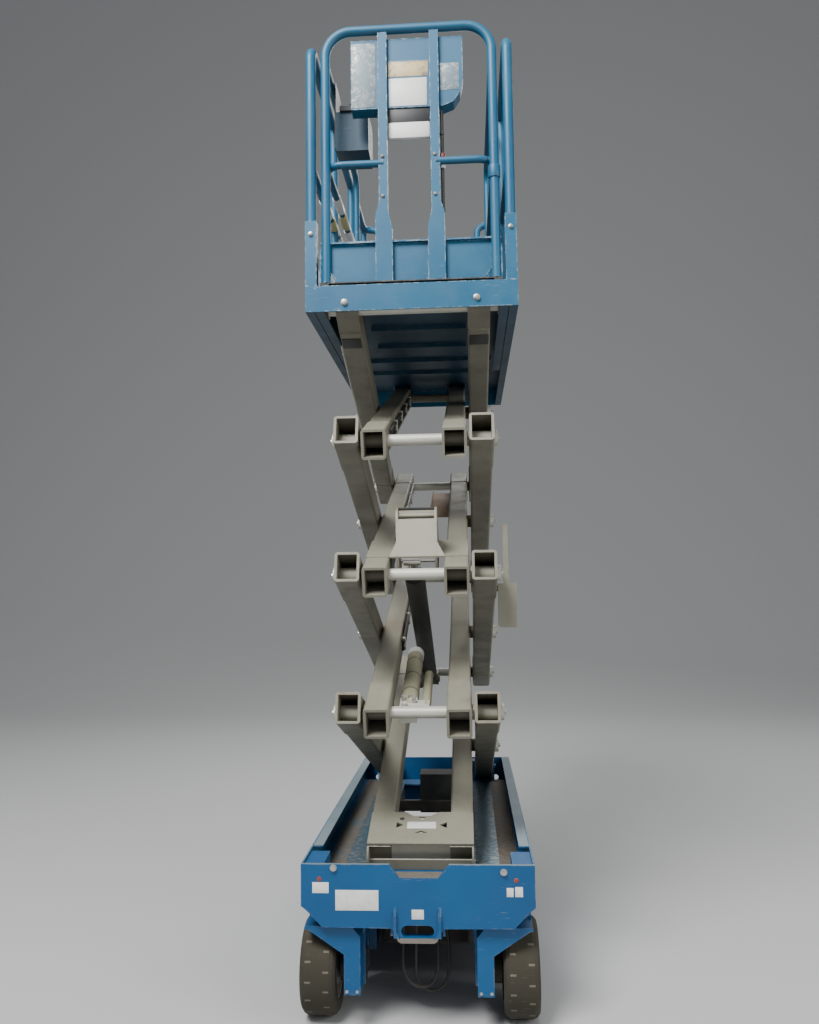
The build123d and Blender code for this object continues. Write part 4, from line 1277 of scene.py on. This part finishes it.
@dataclass
class Studio:
    """Floor, lights and camera.

    Attributes:
        eye: where the camera stands.
        yaw: how far it turns to the right, in radians.
        pitch: how far it looks up.
        roll: how far it leans.
        lens: focal length in millimetres.
        sky: colour of the light from all round.
        sky_strength: strength of that light.
        aim: point that the lamps look at.
        lamps: name, place, size and power of each lamp.
        floor_size: width and depth of the floor.
        floor_middle: the floor's middle along the machine.
        rise: height of its rising back.
        curve: radius of the bend.
        pale: the floor's colour.
    """

    eye: Point = (0.1773, -3.7389, 1.3828)
    yaw: float = -0.0651
    pitch: float = 0.0871
    roll: float = -0.0138
    lens: float = 30.87636328125
    sky: Colour = (0.86, 0.91, 0.97)
    sky_strength: float = 0.34
    aim: Point = (0.0, 0.0, 1.6)
    lamps: tuple[tuple[str, Point, float, float], ...] = (
        ("key", (-1.9, -4.0, 6.2), 2.4, 640.0),
        ("fill", (4.2, -3.2, 2.6), 3.0, 120.0),
        ("back", (1.0, 4.5, 5.4), 3.0, 160.0))
    floor_size: Span = (70.0, 48.0)
    floor_middle: float = -10.0
    rise: float = 22.0
    curve: float = 8.0
    pale: Colour = (0.50, 0.50, 0.49)

    def build(self) -> None:
        """Makes the floor, its rising back and the lights."""
        self.add_floor()
        world = bpy.context.scene.world or bpy.data.worlds.new("studio")
        bpy.context.scene.world = world
        world.use_nodes = True
        light = world.node_tree.nodes["Background"].inputs
        light["Color"].default_value = (*self.sky, 1.0)
        light["Strength"].default_value = self.sky_strength
        for name, place, size, power in self.lamps:
            lamp = bpy.data.lights.new(name, "AREA")
            lamp.size, lamp.energy = size, power
            holder = bpy.data.objects.new(name, lamp)
            holder.location = place
            look = Vector(self.aim) - Vector(place)
            holder.rotation_euler = look.to_track_quat("-Z", "Y").to_euler()
            bpy.context.scene.collection.objects.link(holder)

    def add_floor(self) -> None:
        """A pale floor that curves up far behind the lift."""
        deselect()
        bpy.ops.mesh.primitive_plane_add(size=1.0)
        floor = settle(bpy.context.object, "studio_floor")
        stretch = Matrix.Diagonal((*self.floor_size, 1.0, 1.0))
        floor.data.transform(Matrix.Translation((0.0, self.floor_middle, 0.0)) @ stretch)
        bpy.ops.object.mode_set(mode="EDIT")
        bpy.ops.mesh.select_all(action="DESELECT")
        bpy.ops.object.mode_set(mode="OBJECT")
        back = self.floor_middle + self.floor_size[1] / 2 - 0.1
        for edge in floor.data.edges:
            edge.select = all(floor.data.vertices[v].co.y > back for v in edge.vertices)
        bpy.ops.object.mode_set(mode="EDIT")
        bpy.ops.mesh.select_mode(type="EDGE")
        bpy.ops.mesh.extrude_region_move(TRANSFORM_OT_translate={"value": (0.0, 0.0, self.rise)})
        bpy.ops.object.mode_set(mode="OBJECT")
        round_edges(floor, self.curve, 24, 60)
        bpy.ops.object.shade_smooth()
        paper = bpy.data.materials.new("studio_floor")
        paper.use_nodes = True
        shader = paper.node_tree.nodes["Principled BSDF"].inputs
        shader["Base Color"].default_value = (*self.pale, 1.0)
        shader["Roughness"].default_value = 0.95
        shader["Specular IOR Level"].default_value = 0.2
        floor.data.materials.append(paper)

    def add_camera(self) -> None:
        """Camera at the standing place in front of the lift."""
        data = bpy.data.cameras.new("camera")
        camera = bpy.data.objects.new("camera", data)
        bpy.context.scene.collection.objects.link(camera)
        data.sensor_fit, data.sensor_width, data.sensor_height = "AUTO", 36.0, 36.0
        data.lens = self.lens
        level = Vector((math.sin(self.yaw), math.cos(self.yaw), 0.0)) * math.cos(self.pitch)
        forward = level + Vector((0.0, 0.0, math.sin(self.pitch)))
        right = Vector((math.cos(self.yaw), -math.sin(self.yaw), 0.0))
        up = right.cross(forward)
        turn_right = right * math.cos(self.roll) + up * math.sin(self.roll)
        turn_up = up * math.cos(self.roll) - right * math.sin(self.roll)
        facing = Matrix((turn_right, turn_up, -forward)).transposed()
        camera.matrix_world = Matrix.Translation(Vector(self.eye)) @ facing.to_4x4()
        data.clip_start, data.clip_end = 0.05, 200.0
        bpy.context.scene.camera = camera


def main() -> None:
    """Builds the scene in order."""
    logging.basicConfig(level=logging.INFO, format="%(message)s")
    studio = Studio()
    studio.add_camera()
    Groups.make()
    for hose in HOSES:
        hose.build()
    studio.build()
    for part in (Chassis(), ArmStack(), LiftCylinder(), Platform()):
        part.build()
        LOG.info("finished %s", type(part).__name__)


if __name__ == "__main__":
    main()
